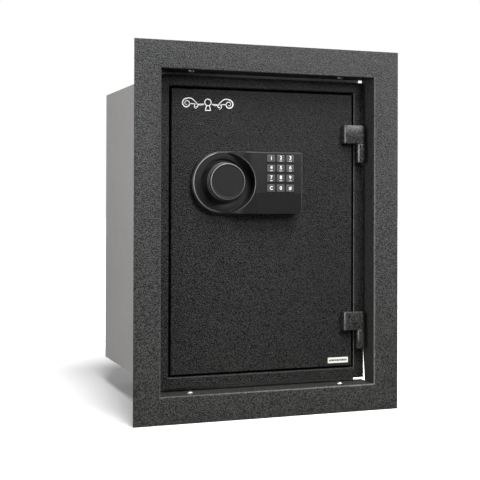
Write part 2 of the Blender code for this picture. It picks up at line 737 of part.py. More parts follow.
def make_boltwork():
    """The sliding carriage with its slot for the cam's pin, and its bolts; returns them."""
    left, right = BAR_X
    notch = PLUNGER_RADIUS + 0.0006
    notch_floor = ARM_TOP_Z - NOTCH_DEPTH
    top_edge = []
    for x in (PLUNGER_X + BOLT_THROW, PLUNGER_X):
        top_edge += [
            (x + notch, ARM_TOP_Z),
            (x + notch, notch_floor),
            (x - notch, notch_floor),
            (x - notch, ARM_TOP_Z),
        ]
    outline = [
        (left, -CARRIAGE_HALF_Z),
        (right, -CARRIAGE_HALF_Z),
        (right, ARM_BOTTOM_Z),
        (ARM_RIGHT_X, ARM_BOTTOM_Z),
        (ARM_RIGHT_X, ARM_TOP_Z),
        *top_edge,
        (right, ARM_TOP_Z),
        (right, CARRIAGE_HALF_Z),
        (left, CARRIAGE_HALF_Z),
    ]
    slot_x = KNOB_X + CAM_RADIUS * sin(CAM_START)
    half = CAM_PIN_RADIUS + 0.0005
    low = KNOB_Z - CAM_RADIUS - half
    high = KNOB_Z - CAM_RADIUS * cos(CAM_START) + half
    slot = [*arc((slot_x, low), half, 180, 360, 6), *arc((slot_x, high), half, 0, 180, 6)]
    carriage = upright("bolt_carriage", outline, (slot,), *CARRIAGE_Y, "bright_steel")
    made = [carriage]
    for place, z in BOLT_HEIGHTS.items():
        back = (BOLT_TIP_X + LIVE_BOLT_LENGTH, BOLT_Y, z)
        made.append(make_bolt(f"live_bolt_{place}", LIVE_BOLT_LENGTH, back, (0, -pi / 2, 0)))
    return made


def make_bolt_guide():
    """The bar inside the pan's edge that the live bolts slide through."""
    near_x = -PAN_HALF_X + SHEET + GAP
    guide = box(
        "bolt_guide",
        (near_x, CARRIAGE_Y[1] + GAP, -CARRIAGE_HALF_Z),
        (near_x + GUIDE_THICKNESS, PAN_BACK_Y - SHEET - GAP, CARRIAGE_HALF_Z),
        "bright_steel",
    )
    for place, z in BOLT_HEIGHTS.items():
        start = (near_x - 0.005, BOLT_Y, z)
        end = (near_x + 2 * GUIDE_THICKNESS, BOLT_Y, z)
        cut(guide, rod(f"guide_hole_{place}", BOLT_RADIUS + 0.0004, start, end, sides=16))
    return guide


def make_solenoid():
    """The solenoid's case, and the plunger with its spring that blocks the carriage."""
    low_z, high_z = SOLENOID_Z
    half_x, half_y = SOLENOID_HALF
    case = box(
        "solenoid_case",
        (PLUNGER_X - half_x, PLUNGER_Y - half_y, low_z),
        (PLUNGER_X + half_x, PLUNGER_Y + half_y, high_z),
        "bright_steel",
    )
    start = (PLUNGER_X, PLUNGER_Y, low_z - 0.005)
    end = (PLUNGER_X, PLUNGER_Y, high_z + 0.005)
    cut(case, rod("solenoid_bore", PLUNGER_RADIUS + 0.0004, start, end, sides=16))
    length = high_z + 0.0080 - PLUNGER_TIP_Z
    profile = [
        (0, length),
        (PLUNGER_RADIUS, length),
        (PLUNGER_RADIUS, COLLAR_Z[1]),
        (COLLAR_RADIUS, COLLAR_Z[1]),
        (COLLAR_RADIUS, COLLAR_Z[0]),
        (PLUNGER_RADIUS, COLLAR_Z[0]),
        (PLUNGER_RADIUS, 0.0005),
        (PLUNGER_RADIUS - 0.0005, 0),
        (0, 0),
    ]
    tip = (PLUNGER_X, PLUNGER_Y, PLUNGER_TIP_Z)
    plunger = turned("lock_plunger", profile, tip, (0, 0, 0), "bright_steel", 16)
    return case, plunger, make_spring(PLUNGER_TIP_Z + COLLAR_Z[1], low_z)


def make_spring(low_z, high_z):
    """The coil spring between the plunger's collar and the solenoid's case."""
    wire = 0.00035
    coil = PLUNGER_RADIUS + 0.0003 + wire + 0.0003
    turns, per_turn = 4, 10
    bottom = low_z + wire + GAP
    rise = high_z - low_z - 2 * (wire + GAP)
    curve = bpy.data.curves.new("plunger_spring", "CURVE")
    curve.dimensions = "3D"
    curve.bevel_depth = wire
    curve.bevel_resolution = 1
    curve.use_fill_caps = True
    spline = curve.splines.new("POLY")
    count = turns * per_turn
    spline.points.add(count)
    for i, point in enumerate(spline.points):
        angle = 2 * pi * i / per_turn
        point.co = (coil * cos(angle), coil * sin(angle), rise * i / count, 1)
    spring = bpy.data.objects.new("plunger_spring", curve)
    spring.location = (PLUNGER_X, PLUNGER_Y, bottom)
    curve.materials.append(material("bright_steel"))
    PARTS.objects.link(spring)
    return spring


def make_cable():
    """The cable from the keypad's board through the door to the solenoid."""
    deep = PLUNGER_Y
    start = BOARD_Y + BOARD_SHEET + GAP
    end_x = PLUNGER_X + SOLENOID_HALF[0] + GAP
    corner = arc((CABLE_X - CABLE_BEND, deep - CABLE_BEND), CABLE_BEND, 0, 90, 6)
    path = [(CABLE_X, start), *corner, (end_x, deep)]
    curve = bpy.data.curves.new("lock_cable", "CURVE")
    curve.dimensions = "3D"
    curve.bevel_depth = CABLE_RADIUS
    curve.bevel_resolution = 2
    curve.use_fill_caps = True
    spline = curve.splines.new("POLY")
    spline.points.add(len(path) - 1)
    for point, (x, y) in zip(spline.points, path):
        point.co = (x, y, CABLE_Z, 1)
    cable = bpy.data.objects.new("lock_cable", curve)
    curve.materials.append(material("seal_rubber"))
    PARTS.objects.link(cable)
    return cable


def housing_outline():
    """The housing seen from the room: one round end and one square end with small corners."""
    radius = (HOUSING_TOP_Z - HOUSING_LOW_Z) / 2
    centre = (KNOB_X - 0.0024, (HOUSING_TOP_Z + HOUSING_LOW_Z) / 2)
    corner = 0.0030
    right = HOUSING_RIGHT - corner
    return [
        *arc(centre, radius, 90, 270, 24),
        *arc((right, HOUSING_LOW_Z + corner), corner, 270, 360, 3),
        *arc((right, HOUSING_TOP_Z - corner), corner, 0, 90, 3),
    ]


def make_housing():
    """The lock housing: a dish round the knob, low at the left, and a raised keypad."""
    housing = upright(
        "lock_housing", housing_outline(), (), HOUSING_FRONT_Y, FRONT_Y - GAP, "black_plastic"
    )
    clear = -0.020
    ramp = [(-0.150, clear), (RAMP[1], clear), (RAMP[1], HOUSING_FRONT_Y)]
    ramp += [(RAMP[0], DISH_FLOOR_Y), (-0.150, DISH_FLOOR_Y)]
    middle_z = (HOUSING_LOW_Z + HOUSING_TOP_Z) / 2
    wedge = flat("housing_ramp", ramp, (), 0.12, (0, 0, middle_z), (0, 0, 0), None)
    fall = (COVER_LOW_Y - HOUSING_FRONT_Y) / (COVER_TOP_Z - HOUSING_LOW_Z)
    below = 0.010
    slope = [
        (HOUSING_FRONT_Y, COVER_TOP_Z),
        (COVER_LOW_Y + fall * below, HOUSING_LOW_Z - below),
        (clear, HOUSING_LOW_Z - below),
        (clear, COVER_TOP_Z),
    ]
    facet = flat("housing_facet", slope, (), 0.300, (0, 0, 0), SIDE_ON, None)
    dish_end = (DISH_X, DISH_FLOOR_Y, DISH_Z)
    dish = rod("housing_dish", DISH_RADIUS, (DISH_X, clear, DISH_Z), dish_end, sides=64)
    well_end = (KNOB_X, WELL_FLOOR_Y, KNOB_Z)
    well = rod("housing_well", WELL_RADIUS, (KNOB_X, clear, KNOB_Z), well_end, sides=48)
    back = FRONT_Y + 0.01
    bay = box(
        "battery_bay",
        (COVER_LEFT - GAP, HOUSING_FRONT_Y - 0.01, HOUSING_LOW_Z - 0.01),
        (HOUSING_RIGHT + 0.01, back, COVER_TOP_Z + GAP),
    )
    hollow = box(
        "keypad_hollow",
        (COVER_LEFT - 0.0020, HOUSING_FRONT_Y + WALL, COVER_TOP_Z + DIVIDER),
        (HOUSING_RIGHT - WALL, back, HOUSING_TOP_Z - WALL),
    )
    start = (KNOB_X, clear, KNOB_Z)
    spindle = rod("housing_spindle", SPINDLE_HOLE, start, (KNOB_X, back, KNOB_Z), sides=20)
    cut(housing, wedge, facet, dish, well, bay, hollow, spindle)
    for name, x, z in key_places():
        half = (KEY_SIZE[0] / 2 + 0.0004, KEY_SIZE[1] / 2 + 0.0004)
        low = (x - half[0], HOUSING_FRONT_Y - 0.01, z - half[1])
        high = (x + half[0], HOUSING_FRONT_Y + 0.01, z + half[1])
        cut(housing, box(f"key_hole_{name}", low, high))
    return housing


def make_battery_bay():
    """The battery, its clip and the cover that slides down off them."""
    side = [
        (FRONT_Y - GAP, COVER_TOP_Z - GAP),
        (HOUSING_FRONT_Y, COVER_TOP_Z - GAP),
        (COVER_LOW_Y, HOUSING_LOW_Z),
        (FRONT_Y - GAP, HOUSING_LOW_Z),
    ]
    work = bmesh.new()
    walls = [work.verts.new((COVER_LEFT + GAP, y, z)) for y, z in side]
    ends = [work.verts.new((HOUSING_RIGHT, y, z)) for y, z in side]
    work.faces.new(walls)
    work.faces.new(ends)
    for i in (2, 3):
        work.faces.new((walls[i - 1], walls[i], ends[i], ends[i - 1]))
    bmesh.ops.recalc_face_normals(work, faces=work.faces)
    cover = add("battery_cover", mesh_from("battery_cover", work), "black_plastic")
    thicken(cover, COVER_WALL, -1)
    battery = box("battery", *BATTERY, "battery_shell")
    soften(battery, 0.0012, 1)
    clip_low = (BATTERY[1][0] + 0.0005, BATTERY[0][1] + 0.0010, BATTERY[0][2] + 0.0024)
    clip_high = (clip_low[0] + 0.0050, BATTERY[1][1] - 0.0005, BATTERY[1][2] - 0.0021)
    return cover, [battery, box("battery_clip", clip_low, clip_high, "black_plastic")]


def make_board():
    """The keypad's circuit board."""
    return box(
        "circuit_board",
        (COVER_LEFT, BOARD_Y, COVER_TOP_Z + DIVIDER + GAP),
        (HOUSING_RIGHT - WALL - GAP, BOARD_Y + BOARD_SHEET, HOUSING_TOP_Z - WALL - GAP),
        "board_green",
    )


def key_places():
    """Each key's name and the centre of its face."""
    places = []
    for row, names in enumerate(KEY_ROWS):
        for column, name in enumerate(names):
            x = KEY_LEFT_X + column * KEY_PITCH_X
            places.append((name, x, KEY_TOP_Z - row * KEY_PITCH_Z))
    return places


def make_key(name, x, z):
    """One key: its cap, and behind the housing's wall a flange that keeps it in."""
    flange_y = HOUSING_FRONT_Y + WALL + GAP
    half = (KEY_SIZE[0] / 2, KEY_SIZE[1] / 2)
    low = (x - half[0], KEY_FRONT_Y, z - half[1])
    high = (x + half[0], flange_y + 0.0008, z + half[1])
    key = box(f"key_{name}", low, high, "key_plastic")
    edge = 0.0009
    flange = box(
        f"key_flange_{name}",
        (low[0] - edge, flange_y, low[2] - edge),
        (x + half[0] + edge, flange_y + 0.0012, z + half[1] + edge),
    )
    join(key, flange)
    return key


def main():
    clear_scene()
    make_trim()
    for side, (sz, half_width) in BRACKETS.items():
        make_bracket(side, sz, half_width)
        for hand, sx in (("left", -1), ("right", 1)):
            make_trim_screw(f"{side}_{hand}", sx, sz)
    make_shell()
    make_body_fill()
    make_room()
    swing = joint_guide("door_swing_axis", (HINGE_X, HINGE_Y, 0))
    turn = joint_guide("knob_turn_axis", (KNOB_X, FRONT_Y, KNOB_Z))
    throw = joint_guide("bolt_slide_axis", (BOLT_TIP_X, BOLT_Y, 0))
    door = make_door()
    for place, under in HINGE_BLOCKS.items():
        door.append(make_hinge(place, under))
    for place, height in FIXED_BOLT_HEIGHTS.items():
        door.append(make_fixed_bolt(place, height))
    case, plunger, spring = make_solenoid()
    cover, power = make_battery_bay()
    door += [make_bush(), make_bolt_guide(), case, make_cable(), make_housing(), make_board()]
    door += [*power, cover, plunger, spring]
    door += [make_key(*place) for place in key_places()]
    for guide in (turn, throw):
        hang(guide, swing)
    for piece in door:
        hang(piece, swing)
    for piece in make_knob():
        hang(piece, turn)
    for piece in make_boltwork():
        hang(piece, throw)


main()
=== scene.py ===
"""Looks for the wall safe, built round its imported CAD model. Metres, +Z up, +Y into the wall."""

import json
from math import atan2, cos, pi, radians, sin

import bmesh
import bpy
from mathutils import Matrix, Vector


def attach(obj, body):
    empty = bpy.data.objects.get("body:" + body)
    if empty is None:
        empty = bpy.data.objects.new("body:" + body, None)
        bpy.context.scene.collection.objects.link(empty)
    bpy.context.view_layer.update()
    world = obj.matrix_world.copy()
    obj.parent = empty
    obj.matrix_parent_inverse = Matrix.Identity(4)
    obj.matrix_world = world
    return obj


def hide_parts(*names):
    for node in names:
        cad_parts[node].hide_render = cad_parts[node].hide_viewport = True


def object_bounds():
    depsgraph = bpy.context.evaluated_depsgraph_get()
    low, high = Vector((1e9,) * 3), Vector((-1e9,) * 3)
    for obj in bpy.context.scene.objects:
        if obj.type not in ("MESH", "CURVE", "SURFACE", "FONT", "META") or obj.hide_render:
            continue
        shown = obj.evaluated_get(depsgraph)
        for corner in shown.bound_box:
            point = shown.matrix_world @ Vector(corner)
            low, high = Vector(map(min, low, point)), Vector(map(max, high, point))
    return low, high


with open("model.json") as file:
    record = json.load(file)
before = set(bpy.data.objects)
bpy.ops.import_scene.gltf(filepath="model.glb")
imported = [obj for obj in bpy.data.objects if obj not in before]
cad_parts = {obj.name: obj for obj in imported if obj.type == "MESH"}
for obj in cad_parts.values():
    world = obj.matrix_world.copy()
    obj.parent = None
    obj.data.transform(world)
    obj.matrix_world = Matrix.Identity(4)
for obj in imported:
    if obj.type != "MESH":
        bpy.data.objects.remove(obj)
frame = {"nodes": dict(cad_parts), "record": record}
CAD_BOX = [list(corner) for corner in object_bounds()]
NODES = frame["nodes"]
RECORD = frame["record"]
RANGE_INPUTS = ("From Min", "From Max", "To Min", "To Max")
HIGHLIGHT_MARK = "painted_highlight"  # the vertex attribute that tells a finish where to paint an edge highlight
MERGE = 0.000002  # points closer than this are one
CAP_RIM = 0.0003  # a narrow flat rim keeps a cap's shading flat

# Trim
TRIM_HALF = (0.1720, 0.2385)
TRIM_BORDER = 0.0412
TRIM_SHEET = 0.0016
TRIM_BEND = 0.0030
TRIM_DEPTH = 0.0430
TRIM_TAPER_Z = -0.1350
TRIM_TAPER_Y = 0.0300
BEND_STEPS = 6
SCREW_X = 0.1220
SCREW_Y = 0.0180
SCREW_RADIUS = 0.0055
SCREW_DOME = 0.0028
SCREW_SHANK = (0.0021, 0.0090)
CROSS = (0.0026, 0.00055)  # half length and half width of a slot

# Body and door
FRONT_Y = 0.0300
DOORWAY_HALF = (0.1515, 0.2165)
HINGE_X = 0.1600
HINGE_Y = 0.0233
BARREL_RADIUS = 0.00635
BARREL_LENGTH = 0.0295
BARREL_BORE = 0.0040
BLOCK_HEIGHT = 0.0286
BLOCK_LEFT = 0.0294
BLOCK_RIGHT = 0.0039
BLOCK_FRONT = 0.0050
HINGE_BLOCKS = {"upper": 0.1363, "lower": -0.1567}
DOORWAY_GLINT_WIDTH = 0.0009

# Lock
KNOB = (-0.0693, 0.0745)
KNOB_DEPTH = 0.0245
DISH = (-0.0671, 0.0730)
DISH_RADIUS = 0.0443
DISH_Y = 0.0222
DISH_DRAFT = 0.0012
WELL_RADIUS = 0.0340
WELL_Y = 0.0260
SPINDLE_HOLE = 0.0071
RAMP = (-0.0660, -0.0300)
BEAD = 0.0013  # height and half width of the bead along the round end
BEAD_PLACE = 0.0012
BEAD_ENDS = (-0.0880, -0.0660)
FACE_STEPS = (0.06, 0.12, 0.18, 0.24, 0.30, 0.36, 0.44, 0.54, 0.66, 0.78, 0.90, 1.0)
HOUSING_LEFT_X = -0.0717
HOUSING_RIGHT = 0.0540
HOUSING_Z = (0.0260, 0.1200)
HOUSING_Y = 0.0080
HOUSING_BACK_Y = 0.0297
EDGE_ROUND = 0.0014
PANEL_X = -0.0080
COVER_LEFT = -0.0200
COVER_TOP = 0.0570
COVER_FALL = 0.0030 / (COVER_TOP - HOUSING_Z[0])
COVER_WALL = 0.0018
SEAM = 0.0003
POCKET = 0.0060  # depth of the hole behind a key
KEY_LEFT = 0.0023
KEY_TOP = 0.1100
KEY_PITCH = (0.0155, 0.0150)
KEY_HALF = (0.00625, 0.00565)
KEY_Y = 0.0066
KEYS = (("1", "2", "3"), ("4", "5", "6"), ("7", "8", "9"), ("clear", "0", "hash"))
KEY_SIGNS = {"clear": "C", "hash": "#"}

# Marks on the door
INK = 0.0001  # thickness of a printed line
LABEL = ((0.1075, -0.2083), (0.1423, -0.1996))
SCROLL = (-0.0914, 0.1915)
SCROLL_REACH = 0.0335  # from the middle to a spiral's centre
SCROLL_RADIUS = 0.0072

# Light: dark room in front of the safe, pale sweep behind it
WORLD_SWEEP = (-0.35, 0.70, 0.07, 0.28)


# ---------------------------------------------------------------- finishes


class Finish:
    """One Principled material. Its colour, roughness and bump come from nodes in object space."""

    def __init__(self, name, metallic=0.0, specular=0.5, coat=0.0):
        self.made = bpy.data.materials.new(name)
        self.made.use_nodes = True
        self.tree = self.made.node_tree
        self.shader = self.tree.nodes["Principled BSDF"]
        self.shader.inputs["Metallic"].default_value = metallic
        self.shader.inputs["Specular IOR Level"].default_value = specular
        self.shader.inputs["Coat Weight"].default_value = coat
        self.place = self.node("ShaderNodeTexCoord").outputs["Object"]

    def node(self, kind, **values):
        made = self.tree.nodes.new(kind)
        for name, value in values.items():
            setattr(made, name, value)
        return made

    def feed(self, socket, value):
        if isinstance(value, bpy.types.NodeSocket):
            self.tree.links.new(value, socket)
        else:
            socket.default_value = value

    def stretch(self, x, y, z):
        made = self.node("ShaderNodeMapping")
        self.feed(made.inputs["Vector"], self.place)
        made.inputs["Scale"].default_value = (x, y, z)
        return made.outputs["Vector"]

    def noise(self, scale, detail=2.0, rough=0.5, place=None):
        made = self.node("ShaderNodeTexNoise")
        self.feed(made.inputs["Vector"], place or self.place)
        made.inputs["Scale"].default_value = scale
        made.inputs["Detail"].default_value = detail
        made.inputs["Roughness"].default_value = rough
        return made.outputs["Fac"]

    def cells(self, scale):
        made = self.node("ShaderNodeTexVoronoi")
        self.feed(made.inputs["Vector"], self.place)
        made.inputs["Scale"].default_value = scale
        return made.outputs["Distance"]

    def math(self, what, a, b=0.0):
        made = self.node("ShaderNodeMath", operation=what)
        self.feed(made.inputs[0], a)
        self.feed(made.inputs[1], b)
        return made.outputs[0]

    def span(self, value, low, high, to_low=0.0, to_high=1.0):
        made = self.node("ShaderNodeMapRange")
        self.feed(made.inputs["Value"], value)
        for name, number in zip(RANGE_INPUTS, (low, high, to_low, to_high)):
            made.inputs[name].default_value = number
        return made.outputs["Result"]

    def ramp(self, value, *stops):
        made = self.node("ShaderNodeValToRGB")
        self.feed(made.inputs["Fac"], value)
        while len(made.color_ramp.elements) < len(stops):
            made.color_ramp.elements.new(0.5)
        for element, (place, colour) in zip(made.color_ramp.elements, stops):
            element.position = place
            element.color = (*colour, 1.0)
        return made.outputs["Color"]

    def mix(self, share, a, b, blend="MIX"):
        made = self.node("ShaderNodeMix", data_type="RGBA", blend_type=blend)
        self.feed(made.inputs["Factor"], share)
        colours = [socket for socket in made.inputs if socket.type == "RGBA"]
        for socket, value in zip(colours, (a, b)):
            self.feed(socket, value if isinstance(value, bpy.types.NodeSocket) else (*value, 1.0))
        return [socket for socket in made.outputs if socket.type == "RGBA"][0]

    def as_grey(self, value):
        made = self.node("ShaderNodeCombineColor")
        for socket in made.inputs[:3]:
            self.feed(socket, value)
        return made.outputs[0]

    def bump(self, height, distance):
        made = self.node("ShaderNodeBump")
        self.feed(made.inputs["Height"], height)
        made.inputs["Distance"].default_value = distance
        made.inputs["Strength"].default_value = 1.0
        return made.outputs["Normal"]

    def painted_highlight(self):
        """1 along the edges that a shape marks for a painted highlight, 0 elsewhere."""
        return self.node("ShaderNodeAttribute", attribute_name=HIGHLIGHT_MARK).outputs["Fac"]

    def axis(self, letter):
        made = self.node("ShaderNodeSeparateXYZ")
        self.feed(made.inputs[0], self.place)
        return made.outputs[letter]

    def done(self, colour, rough, normal=None):
        self.feed(self.shader.inputs["Base Color"], colour)
        self.feed(self.shader.inputs["Roughness"], rough)
        if normal is not None:
            self.feed(self.shader.inputs["Normal"], normal)
        return self.made


def grey(level, warm=0.0):
    """A grey; warm moves it towards red, or towards blue below 0."""
    return (level * (1 + warm), level, level * (1 - warm))


def powder_coat(name, dark, light, grain, bump, shine, rough=0.42):
    """Textured powder coat: a pebbled grain, paler on its crests as painted glints, with a painted
    highlight on marked edges and a painted warm floor bounce towards the bottom.
    """
    paint = Finish(name, specular=shine)
    # The grain's crests are painted paler: painted glints on the pebbles, over the coat's own
    # speckle.
    pebble = paint.math("SUBTRACT", 1.0, paint.cells(grain))
    drift = paint.noise(grain * 0.45, 3.0, 0.65)
    pebble_share = paint.math("MULTIPLY", pebble, 0.65)
    grain_and_glint = paint.math("ADD", pebble_share, paint.math("MULTIPLY", drift, 0.35))
    colour = paint.ramp(grain_and_glint, (0.42, grey(dark, 0.02)), (0.68, grey(light, -0.02)))
    cloud = paint.span(paint.noise(9.0, 4.0, 0.6), 0.3, 0.7, 0.90, 1.10)
    colour = paint.mix(1.0, colour, paint.as_grey(cloud), "MULTIPLY")
    # Painted light: warmer and slightly darker towards the bottom, bluish at the top, as floor
    # bounce and cool light would make it.
    height = paint.span(paint.axis("Z"), -0.26, 0.20)
    painted_bounce_tint = paint.ramp(height, (0.0, (1.0, 0.97, 0.90)), (1.0, (0.98, 0.99, 1.0)))
    colour = paint.mix(1.0, colour, painted_bounce_tint, "MULTIPLY")
    # Painted highlight: marked edges go towards three times the light grey.
    blend_mask = paint.math("MULTIPLY", paint.painted_highlight(), paint.span(drift, 0.35, 0.65, 0.3, 0.9))
    colour = paint.mix(blend_mask, colour, grey(light * 3.0))
    rough = paint.span(drift, 0.3, 0.7, rough, rough + 0.14)
    return paint.done(colour, rough, paint.bump(grain_and_glint, bump))


def smooth_paint(name, level, warm):
    """Sprayed satin enamel: faint orange peel, a little dust and broad tone changes."""
    paint = Finish(name, specular=0.4)
    broad = paint.noise(5.0, 3.0)
    dull, fair = grey(level * 0.94, warm), grey(level * 1.05, warm * 0.7)
    colour = paint.ramp(broad, (0.30, dull), (0.70, fair))
    dust = paint.span(paint.noise(240.0, 4.0, 0.7), 0.58, 0.74, 0.0, 0.25)
    colour = paint.mix(dust, colour, grey(level * 0.80, warm))
    rough = paint.span(paint.noise(30.0, 4.0), 0.3, 0.7, 0.42, 0.54)
    return paint.done(colour, rough, paint.bump(paint.noise(260.0, 2.0), 0.00006))


def moulded(name, level, rough, grain, bump, warm=0.0, specular=0.5, painted_highlight=0.0):
    """Moulded plastic with a spark-eroded grain, faint handling marks and a painted highlight on
    marked edges.
    """
    paint = Finish(name, specular=specular)
    broad = paint.noise(22.0, 3.0)
    colour = paint.ramp(broad, (0.30, grey(level * 0.86, warm)), (0.70, grey(level * 1.14, warm)))
    # Painted highlight: marked edges are painted paler.
    colour = paint.mix(paint.painted_highlight(), colour, grey(level + painted_highlight, warm))
    marks = paint.span(paint.noise(75.0, 5.0, 0.7), 0.3, 0.7, rough - 0.02, rough + 0.02)
    return paint.done(colour, marks, paint.bump(paint.noise(grain, 2.0), bump))


def plated_steel(name, level=0.56):
    """Bright zinc plate over drawn steel: fine lines along X and Z, and a faint bloom."""
    metal = Finish(name, metallic=1.0)
    drawn = metal.noise(1.0, 3.0, 0.6, metal.stretch(90.0, 2400.0, 900.0))
    bloom = metal.noise(55.0, 4.0, 0.6)
    colour = metal.ramp(bloom, (0.32, grey(level * 0.82, 0.03)), (0.68, grey(level * 1.08, -0.02)))
    rough = metal.span(drawn, 0.3, 0.7, 0.22, 0.40)
    return metal.done(colour, rough, metal.bump(drawn, 0.00003))


def turned_brass(name):
    metal = Finish(name, metallic=1.0)
    rings = metal.noise(1.0, 2.0, 0.5, metal.stretch(400.0, 5200.0, 400.0))
    dull = metal.noise(120.0, 4.0)
    colour = metal.ramp(dull, (0.3, (0.52, 0.36, 0.15)), (0.7, (0.74, 0.54, 0.25)))
    return metal.done(colour, metal.span(dull, 0.3, 0.7, 0.28, 0.45), metal.bump(rings, 0.00003))


def cast_filling(name):
    """Cast gypsum filling: chalky, with pores."""
    cast = Finish(name, specular=0.2)
    pores = cast.cells(260.0)
    tone = cast.noise(18.0, 4.0)
    colour = cast.ramp(tone, (0.3, (0.46, 0.43, 0.38)), (0.7, (0.60, 0.57, 0.52)))
    return cast.done(colour, cast.span(tone, 0.3, 0.7, 0.80, 0.95), cast.bump(pores, 0.0004))


def green_board(name):
    board = Finish(name, coat=0.3)
    weave = board.noise(1.0, 1.0, 0.5, board.stretch(900.0, 900.0, 900.0))
    tracks = board.span(board.noise(1.0, 0.0, 0.5, board.stretch(60.0, 1.0, 420.0)), 0.52, 0.55)
    base = board.ramp(weave, (0.3, (0.012, 0.085, 0.035)), (0.7, (0.022, 0.125, 0.052)))
    colour = board.mix(tracks, base, (0.035, 0.20, 0.08))
    return board.done(colour, board.span(weave, 0.3, 0.7, 0.35, 0.45), board.bump(tracks, 0.00004))


def rubber(name):
    soft = Finish(name, specular=0.3)
    tone = soft.noise(90.0, 4.0, 0.6)
    colour = soft.ramp(tone, (0.3, grey(0.012)), (0.75, grey(0.024)))
    rough = soft.span(tone, 0.3, 0.7, 0.70, 0.85)
    return soft.done(colour, rough, soft.bump(soft.noise(1400.0), 0.00005))


def printed_ink(name, colour):
    """Screen-printed ink: nearly flat, with thin spots and a slight rise."""
    ink = Finish(name, specular=0.4)
    blend_mask = ink.noise(700.0, 3.0, 0.6)
    tone = ink.ramp(blend_mask, (0.28, tuple(c * 0.82 for c in colour)), (0.60, colour))
    return ink.done(tone, ink.span(blend_mask, 0.3, 0.7, 0.45, 0.60), ink.bump(blend_mask, 0.00002))


def floor_finish(name):
    """Pale studio floor. It throws back less light than it shows, as a small sweep does."""
    plain = Finish(name, specular=0.1)
    tone = plain.ramp(plain.noise(3.0, 2.0), (0.3, grey(0.90)), (0.7, grey(0.92)))
    path = plain.node("ShaderNodeLightPath")
    thrown = plain.mix(path.outputs["Is Glossy Ray"], grey(0.17), grey(0.04))
    return plain.done(plain.mix(path.outputs["Is Camera Ray"], thrown, tone), 0.9)


FINISHES = {
    "charcoal_paint": powder_coat("charcoal_paint", 0.006, 0.053, 620.0, 0.0007, 0.5),
    "door_paint": powder_coat("door_paint", 0.000, 0.033, 620.0, 0.0009, 0.24),
    "hinge_paint": powder_coat("hinge_paint", 0.005, 0.060, 560.0, 0.00012, 0.6, 0.22),
    "grey_paint": smooth_paint("grey_paint", 0.325, 0.026),
    "liner_plastic": moulded("liner_plastic", 0.17, 0.62, 700.0, 0.00008),
    "fire_fill": cast_filling("fire_fill"),
    "black_plastic": moulded("black_plastic", 0.0096, 0.37, 2600.0, 0.000012, 0.02, 0.40, 0.28),
    "key_plastic": moulded("key_plastic", 0.053, 0.42, 2400.0, 0.000012, -0.02, 0.5, 0.10),
    "seal_rubber": rubber("seal_rubber"),
    "bright_steel": plated_steel("bright_steel"),
    "brass": turned_brass("brass"),
    "board_green": green_board("board_green"),
    "battery_shell": moulded("battery_shell", 0.10, 0.30, 900.0, 0.00003, -0.05),
    "white_ink": printed_ink("white_ink", (0.90, 0.90, 0.89)),
    "label_stock": printed_ink("label_stock", (0.70, 0.69, 0.64)),
    "black_ink": printed_ink("black_ink", (0.02, 0.02, 0.02)),
    "painted_recess_shade": moulded("painted_recess_shade", 0.006, 0.75, 900.0, 0.00005),
}


# ---------------------------------------------------------------- shapes


def add(name, work, finish, body, replaced=(), sharp=32):
    """The finished edit mesh becomes a piece that rides on its body."""
    bmesh.ops.remove_doubles(work, verts=work.verts, dist=MERGE)
    bmesh.ops.dissolve_degenerate(work, edges=work.edges, dist=MERGE / 2)
    bmesh.ops.recalc_face_normals(work, faces=work.faces)
    mesh = bpy.data.meshes.new(name)
    work.to_mesh(mesh)
    work.free()
    mesh.materials.append(FINISHES[finish])
    mesh.shade_smooth()
    mesh.set_sharp_from_angle(angle=radians(sharp))
    made = bpy.data.objects.new(name, mesh)
    bpy.context.scene.collection.objects.link(made)
    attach(made, body)
    if replaced:
        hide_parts(*replaced)
    return made


def fresh():
    """An empty edit mesh whose vertices can be marked for a painted highlight."""
    work = bmesh.new()
    work.verts.layers.float.new(HIGHLIGHT_MARK)
    return work


def paint_highlight(work, rows, amount=1.0, where=None):
    """Mark a rounded edge for a painted highlight. Rows cross it, strongest in the middle; where
    weighs each place.
    """
    layer = work.verts.layers.float[HIGHLIGHT_MARK]
    for i, row in enumerate(rows):
        crest = sin(pi * i / (len(rows) - 1)) ** 2
        for j, vert in enumerate(row):
            vert[layer] = amount * crest * (where[j] if where else 1.0)


def skin(work, loops, closed=True, caps=(), rim=CAP_RIM):
    """Faces between each loop of points and the next; caps names the ends to fill: 0 or -1."""
    rows = [[work.verts.new(point) for point in loop] for loop in loops]
    count = len(rows[0])
    for near, far in zip(rows, rows[1:]):
        for i in range(count if closed else count - 1):
            j = (i + 1) % count
            work.faces.new((near[i], near[j], far[j], far[i]))
    for end in caps:
        cap = work.faces.new(rows[end])
        cap.normal_update()
        if rim:
            bmesh.ops.inset_individual(work, faces=[cap], thickness=rim)
    return rows


def eased(points, radii, steps=4, closed=True):
    """The outline with each corner turned by a short curve that starts its radius before it."""
    made = []
    count = len(points)
    for i, (here, radius) in enumerate(zip(points, radii)):
        if radius == 0 or (not closed and i in (0, count - 1)):
            made.append(tuple(here))
            continue
        here = Vector(here)
        sides = []
        for other in (points[i - 1], points[(i + 1) % count]):
            way = Vector(other) - here
            sides.append(here + way.normalized() * min(radius, way.length * 0.5))
        for step in range(steps + 1):
            t = step / steps
            made.append(tuple(sides[0].lerp(here, t).lerp(here.lerp(sides[1], t), t)))
    return made


def inset(outline, distance):
    """The outline moved inwards; it runs anticlockwise."""
    made = []
    count = len(outline)
    for i, here in enumerate(outline):
        here = Vector(here)
        before = (here - Vector(outline[i - 1])).normalized()
        after = (Vector(outline[(i + 1) % count]) - here).normalized()
        way = Vector((-(before + after).y, (before + after).x))
        length = max(way.length, 0.2)
        turn = max((before.dot(after) + 1) / 2, 0.25) ** 0.5
        made.append(tuple(here + way / length * distance / turn))
    return made


